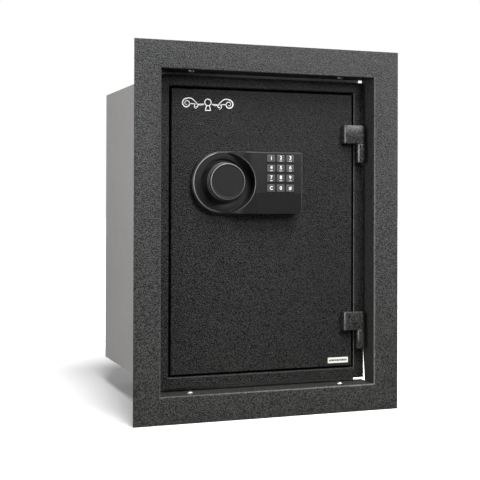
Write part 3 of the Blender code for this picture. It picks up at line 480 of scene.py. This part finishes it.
def rounded_box(low, high, radius, steps=4):
    """A rectangle's outline with round corners, anticlockwise from its lower right."""
    corners = [(high[0], low[1]), (high[0], high[1]), (low[0], high[1]), (low[0], low[1])]
    return eased(corners, [radius] * 4, steps)


def quarter(steps):
    """(share still inset, share dropped) along a quarter round."""
    return [(1 - sin(pi / 2 * i / steps), 1 - cos(pi / 2 * i / steps)) for i in range(steps + 1)]


def lathe(work, profile, centre, axis="Y", steps=96):
    """A (radius, height) profile turned about the centre's Y or Z axis, which height follows."""
    loops = []
    for radius, height in profile:
        loop = []
        for i in range(steps):
            a, b = radius * cos(2 * pi * i / steps), radius * sin(2 * pi * i / steps)
            offset = (a, height, b) if axis == "Y" else (a, b, height)
            loop.append(tuple(c + o for c, o in zip(centre, offset)))
        loops.append(loop)
    return skin(work, loops)


# ---------------------------------------------------------------- trim and hinges


def make_trim():
    """The flange with soft bends and edges. Its right side gets shallower towards the bottom."""
    corners = [
        (TRIM_BORDER, -TRIM_SHEET),
        (0, -TRIM_SHEET),
        (0, TRIM_DEPTH),
        (TRIM_SHEET, TRIM_DEPTH),
        (TRIM_SHEET, 0),
        (TRIM_BORDER, 0),
    ]
    radii = (0.0005, TRIM_BEND, 0.0003, 0.0003, TRIM_BEND - TRIM_SHEET, 0.0005)
    section = eased(corners, radii, BEND_STEPS)

    def ring(sx, sz, depth=TRIM_DEPTH, z=None):
        loop = []
        for out, y in section:
            deep = y - (TRIM_DEPTH - depth) if y > TRIM_TAPER_Y else y
            height = sz * (TRIM_HALF[1] + out) if z is None else z
            loop.append((sx * (TRIM_HALF[0] + out), deep, height))
        return loop

    work = fresh()
    start = ring(1, -1, TRIM_TAPER_Y)
    taper = ring(1, -1, TRIM_DEPTH, TRIM_TAPER_Z)
    rows = skin(work, [start, taper, ring(1, 1), ring(-1, 1), ring(-1, -1), ring(1, -1)])
    # Painted highlight along the inner bend, strongest on the right and at the bottom, where the
    # lamps catch it.
    points = BEND_STEPS + 1
    bend = zip(*(row[points : 2 * points] for row in rows))
    paint_highlight(work, list(bend), 1.0, (1.0, 1.0, 0.9, 0.1, 0.2, 0.8))
    bmesh.ops.remove_doubles(work, verts=work.verts, dist=MERGE)
    bmesh.ops.holes_fill(work, edges=[edge for edge in work.edges if edge.is_boundary], sides=0)
    add("trim", work, "charcoal_paint", "root", ["trim_frame"])


def make_screws():
    """Domed screw heads. Each cross recess is not cut: it is a near-black cross of painted shade
    set into the dome.
    """
    for side, sz in (("top", 1), ("bottom", -1)):
        for hand, sx in (("left", -1), ("right", 1)):
            name = f"screw_{side}_{hand}"
            base = (sx * SCREW_X, SCREW_Y, sz * (TRIM_HALF[1] - SEAM))
            turns = [radians(a) for a in range(0, 91, 10)]
            dome = [(SCREW_RADIUS * sin(a), -sz * SCREW_DOME * cos(a)) for a in turns]
            shank, reach = SCREW_SHANK
            profile = [*dome, (shank, 0), (shank, sz * reach), (0, sz * reach)]
            work = fresh()
            lathe(work, profile, base, "Z", 32)
            add(name, work, "bright_steel", "root", [f"trim_screw_{side}_{hand}"])
            # Painted shade: a dark cross stands in for the shaded recess.
            for turn, half in enumerate((CROSS[::-1], CROSS)):
                work = fresh()
                outline = rounded_box((-half[0], -half[1]), half, 0.0004, 2)
                depths = (base[2] - sz * 0.0010, base[2] - sz * (SCREW_DOME + 0.00006))
                loops = [[(base[0] + x, base[1] + y, z) for x, y in outline] for z in depths]
                skin(work, loops, caps=(0, -1), rim=0)
                add(f"{name}_cross_{turn}", work, "painted_recess_shade", "root")


def make_hinge(place, under):
    """A hinge block with eased edges, and its barrel."""
    back = FRONT_Y - SEAM - HINGE_Y
    corners = [
        (-BLOCK_LEFT, back),
        (-BLOCK_LEFT, -BLOCK_FRONT),
        (BLOCK_RIGHT, -BLOCK_FRONT),
        (BLOCK_RIGHT, 0.0020),
        (0.0010, back),
    ]
    steps = 5
    outline = eased(corners, (0.0003, 0.0030, 0.0014, 0.0014, 0.0020), steps)
    edge = 0.0007
    levels = [(share, under + edge * drop) for share, drop in quarter(4)]
    levels += [(share, under + BLOCK_HEIGHT - edge * drop) for share, drop in reversed(quarter(4))]
    loops = []
    for share, z in levels:
        moved = inset(outline, edge * share)
        loops.append([(HINGE_X + x, HINGE_Y + y, z) for x, y in moved])
    work = fresh()
    rows = skin(work, loops, caps=(0, -1))
    # Painted highlight down the block's left front edge.
    front_corner = range(steps + 1, 2 * (steps + 1))
    paint_highlight(work, [[row[i] for row in rows] for i in front_corner])
    add(f"block_{place}", work, "hinge_paint", "door", [f"hinge_block_{place}"])
    edge = 0.0008
    ease = [(BARREL_RADIUS - edge * share, edge * drop) for share, drop in quarter(4)]
    far_ease = [(radius, BARREL_LENGTH - height) for radius, height in reversed(ease)]
    profile = [(BARREL_BORE, 0), *ease, *far_ease, (BARREL_BORE, BARREL_LENGTH), (BARREL_BORE, 0)]
    work = fresh()
    lathe(work, profile, (HINGE_X, HINGE_Y, under - SEAM - BARREL_LENGTH), "Z", 48)
    add(f"barrel_{place}", work, "hinge_paint", "root", [f"hinge_barrel_{place}"])


def make_doorway_glint():
    """A painted highlight along the edge of the doorway beside the hinges."""
    work = fresh()
    x, y = DOORWAY_HALF[0] + 0.0005, FRONT_Y - 0.00015
    ribbon(work, [(x, -DOORWAY_HALF[1]), (x, DOORWAY_HALF[1])], lambda s: DOORWAY_GLINT_WIDTH, y)
    for vert in work.verts:
        vert[work.verts.layers.float[HIGHLIGHT_MARK]] = 0.8
    add("doorway_glint", work, "charcoal_paint", "root")


# ---------------------------------------------------------------- lock


def blend_in(value, low, high):
    """0 below low, 1 above high, and a smooth step between."""
    t = min(1.0, max(0.0, (value - low) / (high - low)))
    return t * t * (3 - 2 * t)


def face_y(x, z):
    """Depth of the housing's face: level with the dish, then rising, cut by the lower facet."""
    rise = blend_in(x, *RAMP)
    level = DISH_Y + (HOUSING_Y - DISH_Y) * rise
    return max(level, HOUSING_Y + max(0.0, COVER_TOP - z) * COVER_FALL)


def lip(x, from_edge):
    """Height of the bead along the housing's round end."""
    along = 1 - blend_in(x, *BEAD_ENDS)
    across = (from_edge - BEAD_PLACE) / BEAD
    return BEAD * along * max(0.0, 1 - across * across) ** 0.5


def round_point(centre, radius, angle):
    """(x, z) on a circle in the door's plane."""
    return centre[0] + radius * cos(angle), centre[1] + radius * sin(angle)


def between(first, last, steps):
    """steps + 1 evenly spaced values from first to last."""
    return [first + (last - first) * i / steps for i in range(steps + 1)]


def highlight_reach(z):
    """How strong the painted highlight on the housing's rims is: weaker towards the bottom, where
    less light catches it.
    """
    return 0.35 + 0.65 * blend_in(z, 0.0260, 0.0800)


def housing_edge():
    """The housing's outline from the seam above the keypad round to the cover's corner."""
    low, high = HOUSING_Z
    centre = (HOUSING_LEFT_X, (low + high) / 2)
    left = COVER_LEFT - SEAM
    shelf = COVER_TOP + SEAM
    points = [(x, high, "edge") for x in between(PANEL_X, HOUSING_LEFT_X, 16)]
    turns = between(pi / 2, 3 * pi / 2, 48)[1:-1]
    points += [(*round_point(centre, (high - low) / 2, a), "edge") for a in turns]
    points += [(x, low, "edge") for x in between(HOUSING_LEFT_X, left, 14)]
    points += [(left, z, "seam") for z in between(low, shelf, 10)[1:]]
    points += [(x, shelf, "seam") for x in between(left, PANEL_X, 4)[1:]]
    points += [(PANEL_X, z, "join") for z in between(shelf, high, 16)[1:-1]]
    return points


def housing_rim(edge):
    """For each outline point: the point, the way out of it, and how far its edge is rounded."""
    rounding = {"edge": EDGE_ROUND, "seam": 0.0003, "join": 0.0}
    rim = []
    for i, (x, z, kind) in enumerate(edge):
        before, after = Vector(edge[i - 1][:2]), Vector(edge[(i + 1) % len(edge)][:2])
        way = (after - before).normalized()
        normal = Vector((way.y, -way.x))
        if kind == "edge" and z == HOUSING_Z[1]:
            normal = Vector((0, 1))
        if kind == "edge" and z == HOUSING_Z[0]:
            normal = Vector((0, -1))
        rim.append((Vector((x, z)), normal, rounding[kind]))
    return rim


def make_housing():
    """The housing's round end, its dish with the knob's well, and the rise to the keypad."""
    edge = housing_edge()
    rim = housing_rim(edge)
    back = [(point.x, HOUSING_BACK_Y, point.y) for point, _, _ in rim]
    loops = [back]
    for share, drop in reversed(quarter(6)):
        loop = []
        for point, normal, size in rim:
            at = point - normal * size * share
            loop.append((at.x, face_y(at.x, at.y) + size * drop, at.y))
        loops.append(loop)

    # each spoke: where it starts, its angle about the dish, the rim's ease and its height there
    spokes = []
    for point, normal, size in rim:
        start = point - normal * size
        way = Vector(DISH) - start
        angle = atan2(-way.y, -way.x)
        height = DISH_Y - face_y(*round_point(DISH, DISH_RADIUS, angle))
        spokes.append((start, angle, min(0.0009, height * 0.45), height))
    angles = [angle for _, angle, _, _ in spokes]

    for share in FACE_STEPS:
        loop = []
        for start, angle, ease, _ in spokes:
            at = start.lerp(Vector(round_point(DISH, DISH_RADIUS + ease, angle)), share)
            raised = lip(at.x, (at - start).length)
            loop.append((at.x, face_y(at.x, at.y) - raised, at.y))
        loops.append(loop)
    for share, drop in quarter(4)[1:]:
        loop = []
        for _, angle, ease, height in spokes:
            x, z = round_point(DISH, DISH_RADIUS + ease * share, angle)
            loop.append((x, DISH_Y - height + ease * drop, z))
        loops.append(loop)
    for drop in (0.25, 0.5, 0.75):
        loop = []
        for _, angle, ease, height in spokes:
            draft = DISH_DRAFT * drop * height / (DISH_Y - HOUSING_Y)
            x, z = round_point(DISH, DISH_RADIUS - draft, angle)
            loop.append((x, DISH_Y - height + ease + (height - ease) * drop, z))
        loops.append(loop)

    def ring(centre, radius, y):
        loops.append([(x, y, z) for x, z in (round_point(centre, radius, a) for a in angles)])

    ring(DISH, DISH_RADIUS - 0.0014, DISH_Y)
    ring(DISH, DISH_RADIUS - 0.0030, DISH_Y)
    ease = 0.0006
    for share, drop in quarter(3):
        ring(KNOB, WELL_RADIUS + ease * share, DISH_Y + ease * drop)
    ring(KNOB, WELL_RADIUS, WELL_Y)
    ring(KNOB, SPINDLE_HOLE, WELL_Y)
    ring(KNOB, SPINDLE_HOLE, HOUSING_BACK_Y)
    loops.append(back)

    work = fresh()
    rows = skin(work, loops)
    edge_rows, face_rows, rim_rows = rows[1:8], rows[8:20], rows[19:24]
    # Painted highlights: faint on the outer edges, strong on the bead's crest and on the dish's
    # tall rim.
    paint_highlight(work, edge_rows, 0.05, [kind == "edge" for _, _, kind in edge])
    layer = work.verts.layers.float[HIGHLIGHT_MARK]
    for row in face_rows:
        for vert, (start, _, _, _) in zip(row, spokes):
            x, _, z = vert.co
            bead = min(1.0, lip(x, (Vector((x, z)) - start).length) / BEAD)
            vert[layer] = bead**6 * highlight_reach(z)
    rim_highlight = []
    for _, angle, ease, height in spokes:
        z = round_point(DISH, DISH_RADIUS + ease, angle)[1]
        rim_highlight.append(blend_in(height, 0.0060, DISH_Y - HOUSING_Y) * highlight_reach(z))
    paint_highlight(work, rim_rows, 1.0, rim_highlight)
    add("housing", work, "black_plastic", "door", ["lock_housing"], sharp=50)


def key_centres():
    """Each key's name and the middle of its cap."""
    for row, names in enumerate(KEYS):
        for column, name in enumerate(names):
            yield name, KEY_LEFT + column * KEY_PITCH[0], KEY_TOP - row * KEY_PITCH[1]


def make_keypad():
    """The raised panel with a pocket for each key, and its rounded outer edge."""
    gap = 0.0005  # between a key and its pocket
    right, top = HOUSING_RIGHT - 0.0045, HOUSING_Z[1] - 0.0032
    low = COVER_TOP + SEAM
    lines_x = [PANEL_X]
    for column in range(3):
        centre = KEY_LEFT + column * KEY_PITCH[0]
        lines_x += [centre - KEY_HALF[0] - gap, centre + KEY_HALF[0] + gap]
    lines_x.append(right)
    lines_z = [low]
    for row in reversed(range(4)):
        centre = KEY_TOP - row * KEY_PITCH[1]
        lines_z += [centre - KEY_HALF[1] - gap, centre + KEY_HALF[1] + gap]
    lines_z.append(top)

    work = fresh()
    grid = [[work.verts.new((x, HOUSING_Y, z)) for z in lines_z] for x in lines_x]
    for i, (x, next_x) in enumerate(zip(lines_x, lines_x[1:])):
        for j, (z, next_z) in enumerate(zip(lines_z, lines_z[1:])):
            if i % 2 and j % 2:
                hole = [(x, z), (next_x, z), (next_x, next_z), (x, next_z)]
                depths = (HOUSING_Y, HOUSING_Y + POCKET)
                skin(work, [[(a, y, b) for a, b in hole] for y in depths], caps=(-1,))
            else:
                work.faces.new((grid[i][j], grid[i + 1][j], grid[i + 1][j + 1], grid[i][j + 1]))

    # the border, from the left end of the top round the corner to the lower end of the right side
    steps = 5
    radius = 0.0030
    inside = [(x, top) for x in lines_x] + [(right, top)] * (steps + 1)
    inside += [(right, z) for z in reversed(lines_z)]
    centre = (HOUSING_RIGHT - radius, HOUSING_Z[1] - radius)
    outside = [(x, HOUSING_Z[1], 0.0, 1.0) for x in lines_x]
    for a in between(pi / 2, 0, steps):
        outside.append((*round_point(centre, radius, a), cos(a), sin(a)))
    outside += [(HOUSING_RIGHT, z, 1.0, 0.0) for z in reversed(lines_z)]
    loops = [[(x, HOUSING_Y, z) for x, z in inside]]
    for share, drop in quarter(6):
        inner, y = EDGE_ROUND * share, HOUSING_Y + EDGE_ROUND * drop
        loops.append([(x - nx * inner, y, z - nz * inner) for x, z, nx, nz in outside])
    loops.append([(x, HOUSING_BACK_Y, z) for x, z, _, _ in outside])
    rows = skin(work, loops, closed=False)
    # Painted highlight on the rounded border, strongest on its right-facing edges.
    paint_highlight(work, rows[1:8], 0.3, [nx for _, _, nx, _ in outside])

    corner = (PANEL_X, HOUSING_BACK_Y, low)
    left_wall = [(PANEL_X, HOUSING_Y, z) for z in lines_z] + [row[0].co for row in rows[1:]]
    under_wall = [(x, HOUSING_Y, low) for x in lines_x] + [row[-1].co for row in rows[1:]]
    for wall in (left_wall, under_wall, [vert.co for vert in rows[-1]]):
        work.faces.new([work.verts.new(place) for place in (*wall, corner)])
    add("keypad", work, "black_plastic", "door", sharp=50)


def cover_rim(outline, left, top):
    """For each outline point: the point, and how far its edge is rounded, as a vector outwards."""
    rim = []
    for i, (x, z) in enumerate(outline):
        round_x = EDGE_ROUND if x > HOUSING_RIGHT - 0.0031 else 0.0003
        round_z = EDGE_ROUND if z < HOUSING_Z[0] + 0.0031 else 0.0003
        before, after = Vector(outline[i - 1]), Vector(outline[(i + 1) % len(outline)])
        way = (after - before).normalized()
        normal = Vector((way.y, -way.x))
        if z == top:
            normal = Vector((0.0, 1.0)) if x < HOUSING_RIGHT else Vector((1.0, 0.2))
        if x == left:
            normal = Vector((-1.0, 1.0 if z == top else 0.0))
        rim.append((Vector((x, z)), Vector((normal.x * round_x, normal.y * round_z))))
    return rim


def make_cover():
    """The battery cover: a sloping facet with a skirt on three sides, and thin seams round it."""
    left, top = COVER_LEFT + SEAM, COVER_TOP - SEAM
    right, low = HOUSING_RIGHT, HOUSING_Z[0]
    outline = eased([(left, low), (right, low), (right, top), (left, top)], (0, 0.0030, 0, 0), 6)
    rim = cover_rim(outline, left, top)

    def face(z):
        return HOUSING_Y + (COVER_TOP - z) * COVER_FALL

    loops = [[(point.x, face(point.y) + COVER_WALL, point.y) for point, _ in rim]]
    for share, drop in reversed(quarter(6)):
        loop = []
        for point, normal in rim:
            at = point - normal * share
            loop.append((at.x, face(at.y) + normal.length * drop, at.y))
        loops.append(loop)
    work = fresh()
    rows = skin(work, loops, caps=(0, -1))
    # Painted highlight on the right and lower rounded edges.
    paint_highlight(work, rows[1:8], 0.16, [p.x > left + 0.001 and p.y < top - 0.001 for p, _ in rim])

    in_left, in_right, in_low = left + COVER_WALL, right - COVER_WALL, low + COVER_WALL
    turn = eased([(in_left, in_low), (in_right, in_low), (in_right, top)], (0, 0.0015, 0), 4, False)
    skirt = [outline[-1], *outline[:-1], *reversed([(in_left, top), *turn])]
    front = [(x, face(z) + COVER_WALL - 0.0002, z) for x, z in skirt]
    skin(work, [front, [(x, HOUSING_BACK_Y, z) for x, z in skirt]], caps=(0, -1), rim=0)
    add("cover", work, "black_plastic", "battery_cover", ["battery_cover"], sharp=50)


def make_knob():
    """The tapered knob: flat face and two fine grooves round its side, with painted highlights on
    the shoulder and in the grooves.
    """
    face, base = 0.0271, 0.0301  # radius at the shoulder and at the bottom of the taper
    start, skirt = 0.0016, 0.0140  # depths between which the side widens
    shoulder = 0.0013
    bore = 0.0240

    def side(y, inward=0.0):
        return (face + (base - face) * (y - start) / (skirt - start) - inward, y)

    profile = [(0, 0.0002), (0.0229, 0.0002), (0.0232, 0.0002), (0.0240, 0)]
    profile += [(face - shoulder * share, shoulder * drop) for share, drop in quarter(6)]
    for y in (0.0062, 0.0098):
        deep = 0.0005
        profile += [side(y - 0.0006), side(y - 0.0003, deep), side(y + 0.0003, deep)]
        profile.append(side(y + 0.0006))
    profile += [side(skirt - 0.0008), side(skirt - 0.0002, 0.0002), (base - 0.0008, skirt + 0.0002)]
    profile += [(bore, skirt + 0.0010), (bore, KNOB_DEPTH), (0, KNOB_DEPTH)]
    work = fresh()
    rows = lathe(work, profile, (KNOB[0], 0, KNOB[1]), "Y", 128)
    shoulder_rows, first_groove, second_groove = rows[4:11], rows[11:15], rows[15:19]
    paint_highlight(work, shoulder_rows)
    paint_highlight(work, first_groove)
    paint_highlight(work, second_groove, 0.8)
    add("dial", work, "black_plastic", "knob", ["knob"], sharp=38)


def printed_sign(name, x, z):
    """A key's sign as an edit mesh, with three dashes below the digits 2 to 9."""
    lettered = name in "23456789"
    sign = bpy.data.curves.new(f"sign_{name}", "FONT")
    sign.body = KEY_SIGNS.get(name, name)
    sign.size = 0.0074
    sign.align_x = "CENTER"
    sign.align_y = "CENTER"
    sign.offset = 0.00016
    sign.extrude = INK / 2
    drawn = bpy.data.objects.new(f"drawn_{name}", sign)
    bpy.context.scene.collection.objects.link(drawn)
    drawn.location = (x, KEY_Y - 0.00004, z + (0.0012 if lettered else 0.0002))
    drawn.rotation_euler = (pi / 2, 0, 0)
    bpy.context.view_layer.update()
    mesh = bpy.data.meshes.new_from_object(drawn)
    mesh.transform(drawn.matrix_world)
    bpy.data.objects.remove(drawn)
    work = fresh()
    work.from_mesh(mesh)
    if lettered:
        for start in (-0.0021, -0.0005, 0.0011):
            dash = [(x + start, z - 0.0035), (x + start + 0.0010, z - 0.0035)]
            ribbon(work, dash, lambda s: 0.0009, KEY_Y - 0.00006)
    return work


def make_keys():
    """Rounded key caps, each with its printed sign."""
    edge = 0.0008
    for name, x, z in key_centres():
        low = (x - KEY_HALF[0], z - KEY_HALF[1])
        high = (x + KEY_HALF[0], z + KEY_HALF[1])
        outline = rounded_box(low, high, 0.0014)
        loops = [[(a, HOUSING_Y + 0.0036, b) for a, b in outline]]
        for share, drop in reversed(quarter(4)):
            moved = inset(outline, edge * share)
            loops.append([(a, KEY_Y + edge * drop, b) for a, b in moved])
        work = fresh()
        rows = skin(work, loops, caps=(0, -1))
        # Painted highlight round each cap's rounded edge.
        paint_highlight(work, rows[1:6], 0.5)
        add(f"cap_{name}", work, "key_plastic", f"key_{name}", [f"key_{name}"], sharp=50)
        work = printed_sign(name, x, z)
        add(f"sign_{name}", work, "white_ink", f"key_{name}")


# ---------------------------------------------------------------- marks on the door


def ribbon(work, points, width, y):
    """A thin closed line of ink through (x, z) points, with its face at depth y."""
    loops = []
    last = len(points) - 1
    for i, (x, z) in enumerate(points):
        before, after = points[max(0, i - 1)], points[min(last, i + 1)]
        way = Vector((after[0] - before[0], after[1] - before[1])).normalized()
        half = width(i / last) / 2
        left = (x - way.y * half, z + way.x * half)
        right = (x + way.y * half, z - way.x * half)
        section = ((left, y), (right, y), (right, y + INK), (left, y + INK))
        loops.append([(a, deep, b) for (a, b), deep in section])
    skin(work, loops, caps=(0, -1), rim=0)


def make_ornament():
    """A plain scroll with a keyhole in its middle, printed near the door's upper left corner."""
    mid_x, mid_z = SCROLL
    y = FRONT_Y - 0.00012
    work = fresh()
    for side in (-1, 1):
        hub = (SCROLL_REACH, 0)
        spiral = []
        for t in between(0, 1, 45):
            spiral.append(round_point(hub, SCROLL_RADIUS * (1 - 0.78 * t), pi * (0.5 - 3.2 * t)))
        start = 0.0056
        wave = []
        for t in between(0, 1, 27):
            rise = SCROLL_RADIUS * t**1.6 - 0.0030 * sin(2 * pi * t)
            wave.append((start + (SCROLL_REACH - start) * t, rise))
        curl_hub = (0.0180, -0.0035)
        curl = []
        for t in between(0, 1, 29):
            curl.append(round_point(curl_hub, 0.0040 * (1 - 0.7 * t), pi * (-0.5 + 2.4 * t)))
        rail = [(0.0044 + 0.0255 * t, -0.0008 * sin(pi * t)) for t in between(0, 1, 20)]
        strokes = (
            (wave + spiral[1:], lambda s: 0.0008 + 0.0010 * sin(pi * min(1, s * 1.1)) ** 2),
            (curl, lambda s: 0.0007 + 0.0007 * sin(pi * s)),
            (rail, lambda s: 0.0007 + 0.0006 * s),
        )
        for points, width in strokes:
            ribbon(work, [(mid_x + side * a, mid_z + b) for a, b in points], width, y)
    bow = (mid_x, mid_z + 0.0022)
    nearly_round = 6.26  # the ring's ends stay just apart
    ring = [round_point(bow, 0.0050, a) for a in between(0, nearly_round, 40)]
    ribbon(work, ring, lambda s: 0.0013, y)
    low = mid_z - 0.0098
    for side in (-1, 1):
        leg = [(mid_x + side * 0.0022, mid_z - 0.0026), (mid_x + side * 0.0042, low)]
        ribbon(work, leg, lambda s: 0.0012, y)
    ribbon(work, [(mid_x - 0.0047, low), (mid_x + 0.0047, low)], lambda s: 0.0012, y)
    add("ornament", work, "white_ink", "door")


def make_label():
    """A small pale label low on the door, with plain dashes in place of print."""
    low, high = LABEL
    work = fresh()
    outline = rounded_box(low, high, 0.0008)
    loops = [[(x, y, z) for x, z in outline] for y in (FRONT_Y, FRONT_Y - 0.00015)]
    skin(work, loops, caps=(0, -1))
    add("label", work, "label_stock", "door")
    work = fresh()
    middle = (low[1] + high[1]) / 2
    x = low[0] + 0.0020
    for i in range(11):
        end = x + 0.0014 + 0.0007 * (i % 3)
        ribbon(work, [(x, middle), (end, middle)], lambda s: 0.0028, FRONT_Y - 0.00022)
        x = end + 0.0008
    add("label_dashes", work, "black_ink", "door")


# ---------------------------------------------------------------- scene


def paint_nodes():
    """Each CAD node gets the finish of its slot; pieces made here replace some of them."""
    for entry in RECORD["subparts"]:
        node = NODES[entry["node"]]
        node.data.materials.clear()
        node.data.materials.append(FINISHES[entry["material_slot"]])


def make_floor():
    bpy.ops.mesh.primitive_plane_add(size=30.0, location=(0, 0, CAD_BOX[0][2] - 0.0003))
    floor = bpy.context.object
    floor.name = "floor"
    floor.data.materials.append(floor_finish("floor_pale"))


def place_light(light, spot, aim):
    lamp = bpy.data.objects.new(light.name, light)
    lamp.location = spot
    lamp.rotation_euler = (Vector(aim) - Vector(spot)).to_track_quat("-Z", "Y").to_euler()
    bpy.context.scene.collection.objects.link(lamp)


def make_area(name, spot, aim, size, power):
    light = bpy.data.lights.new(name, "AREA")
    light.shape = "RECTANGLE"
    light.size, light.size_y = size
    light.energy = power
    place_light(light, spot, aim)


def make_sun(name, towards, strength, softness):
    light = bpy.data.lights.new(name, "SUN")
    light.energy = strength
    light.angle = radians(softness)
    place_light(light, (0, 0, 0), towards)


def make_lights():
    make_sun("key", (-0.06, 0.50, -0.86), 4.8, 30)
    make_area("front_box", (0.85, -1.4, 0.85), (0.1, 0, 0.15), (0.6, 0.5), 17)
    make_area("side_box", (2.3, -0.45, 0.2), (0, 0, 0.05), (0.8, 1.2), 12)
    make_area("left_box", (-2.1, -0.85, 0.15), (-0.17, 0.1, 0), (1.3, 1.4), 50)


def make_world():
    """White behind the object, and a dimmer sweep for everything that it lights or reflects."""
    world = bpy.data.worlds.new("studio")
    world.use_nodes = True
    tree = world.node_tree
    lit = tree.nodes["Background"]
    lit.inputs["Color"].default_value = (1, 1, 1, 1)
    direction = tree.nodes.new("ShaderNodeSeparateXYZ")
    place = tree.nodes.new("ShaderNodeTexCoord")
    tree.links.new(place.outputs["Generated"], direction.inputs[0])
    sweep = tree.nodes.new("ShaderNodeMapRange")
    tree.links.new(direction.outputs["Y"], sweep.inputs["Value"])
    for name, number in zip(RANGE_INPUTS, WORLD_SWEEP):
        sweep.inputs[name].default_value = number
    tree.links.new(sweep.outputs["Result"], lit.inputs["Strength"])
    seen = tree.nodes.new("ShaderNodeBackground")
    seen.inputs["Strength"].default_value = 1.0
    seen.inputs["Color"].default_value = (1, 1, 1, 1)
    path = tree.nodes.new("ShaderNodeLightPath")
    mix = tree.nodes.new("ShaderNodeMixShader")
    tree.links.new(path.outputs["Is Camera Ray"], mix.inputs["Fac"])
    tree.links.new(lit.outputs[0], mix.inputs[1])
    tree.links.new(seen.outputs[0], mix.inputs[2])
    tree.links.new(mix.outputs[0], tree.nodes["World Output"].inputs["Surface"])
    bpy.context.scene.world = world
    bpy.context.scene.view_settings.view_transform = "Standard"


def make_camera():
    """A camera to the left of the safe, level with it; the shift keeps its verticals upright."""
    data = bpy.data.cameras.new("camera")
    data.sensor_width = 36.0
    data.lens = 78.47
    data.shift_y = -0.1019
    data.clip_start = 0.05
    camera = bpy.data.objects.new("camera", data)
    camera.location = (-0.58393, -1.46417, 0.04897)
    camera.rotation_euler = (radians(90.42), radians(-0.173), radians(-20.016))
    bpy.context.scene.collection.objects.link(camera)
    bpy.context.scene.camera = camera


def main():
    paint_nodes()
    make_trim()
    make_screws()
    for place, under in HINGE_BLOCKS.items():
        make_hinge(place, under)
    make_doorway_glint()
    make_housing()
    make_keypad()
    make_cover()
    make_knob()
    make_keys()
    make_ornament()
    make_label()
    make_floor()
    make_lights()
    make_world()
    make_camera()


main()
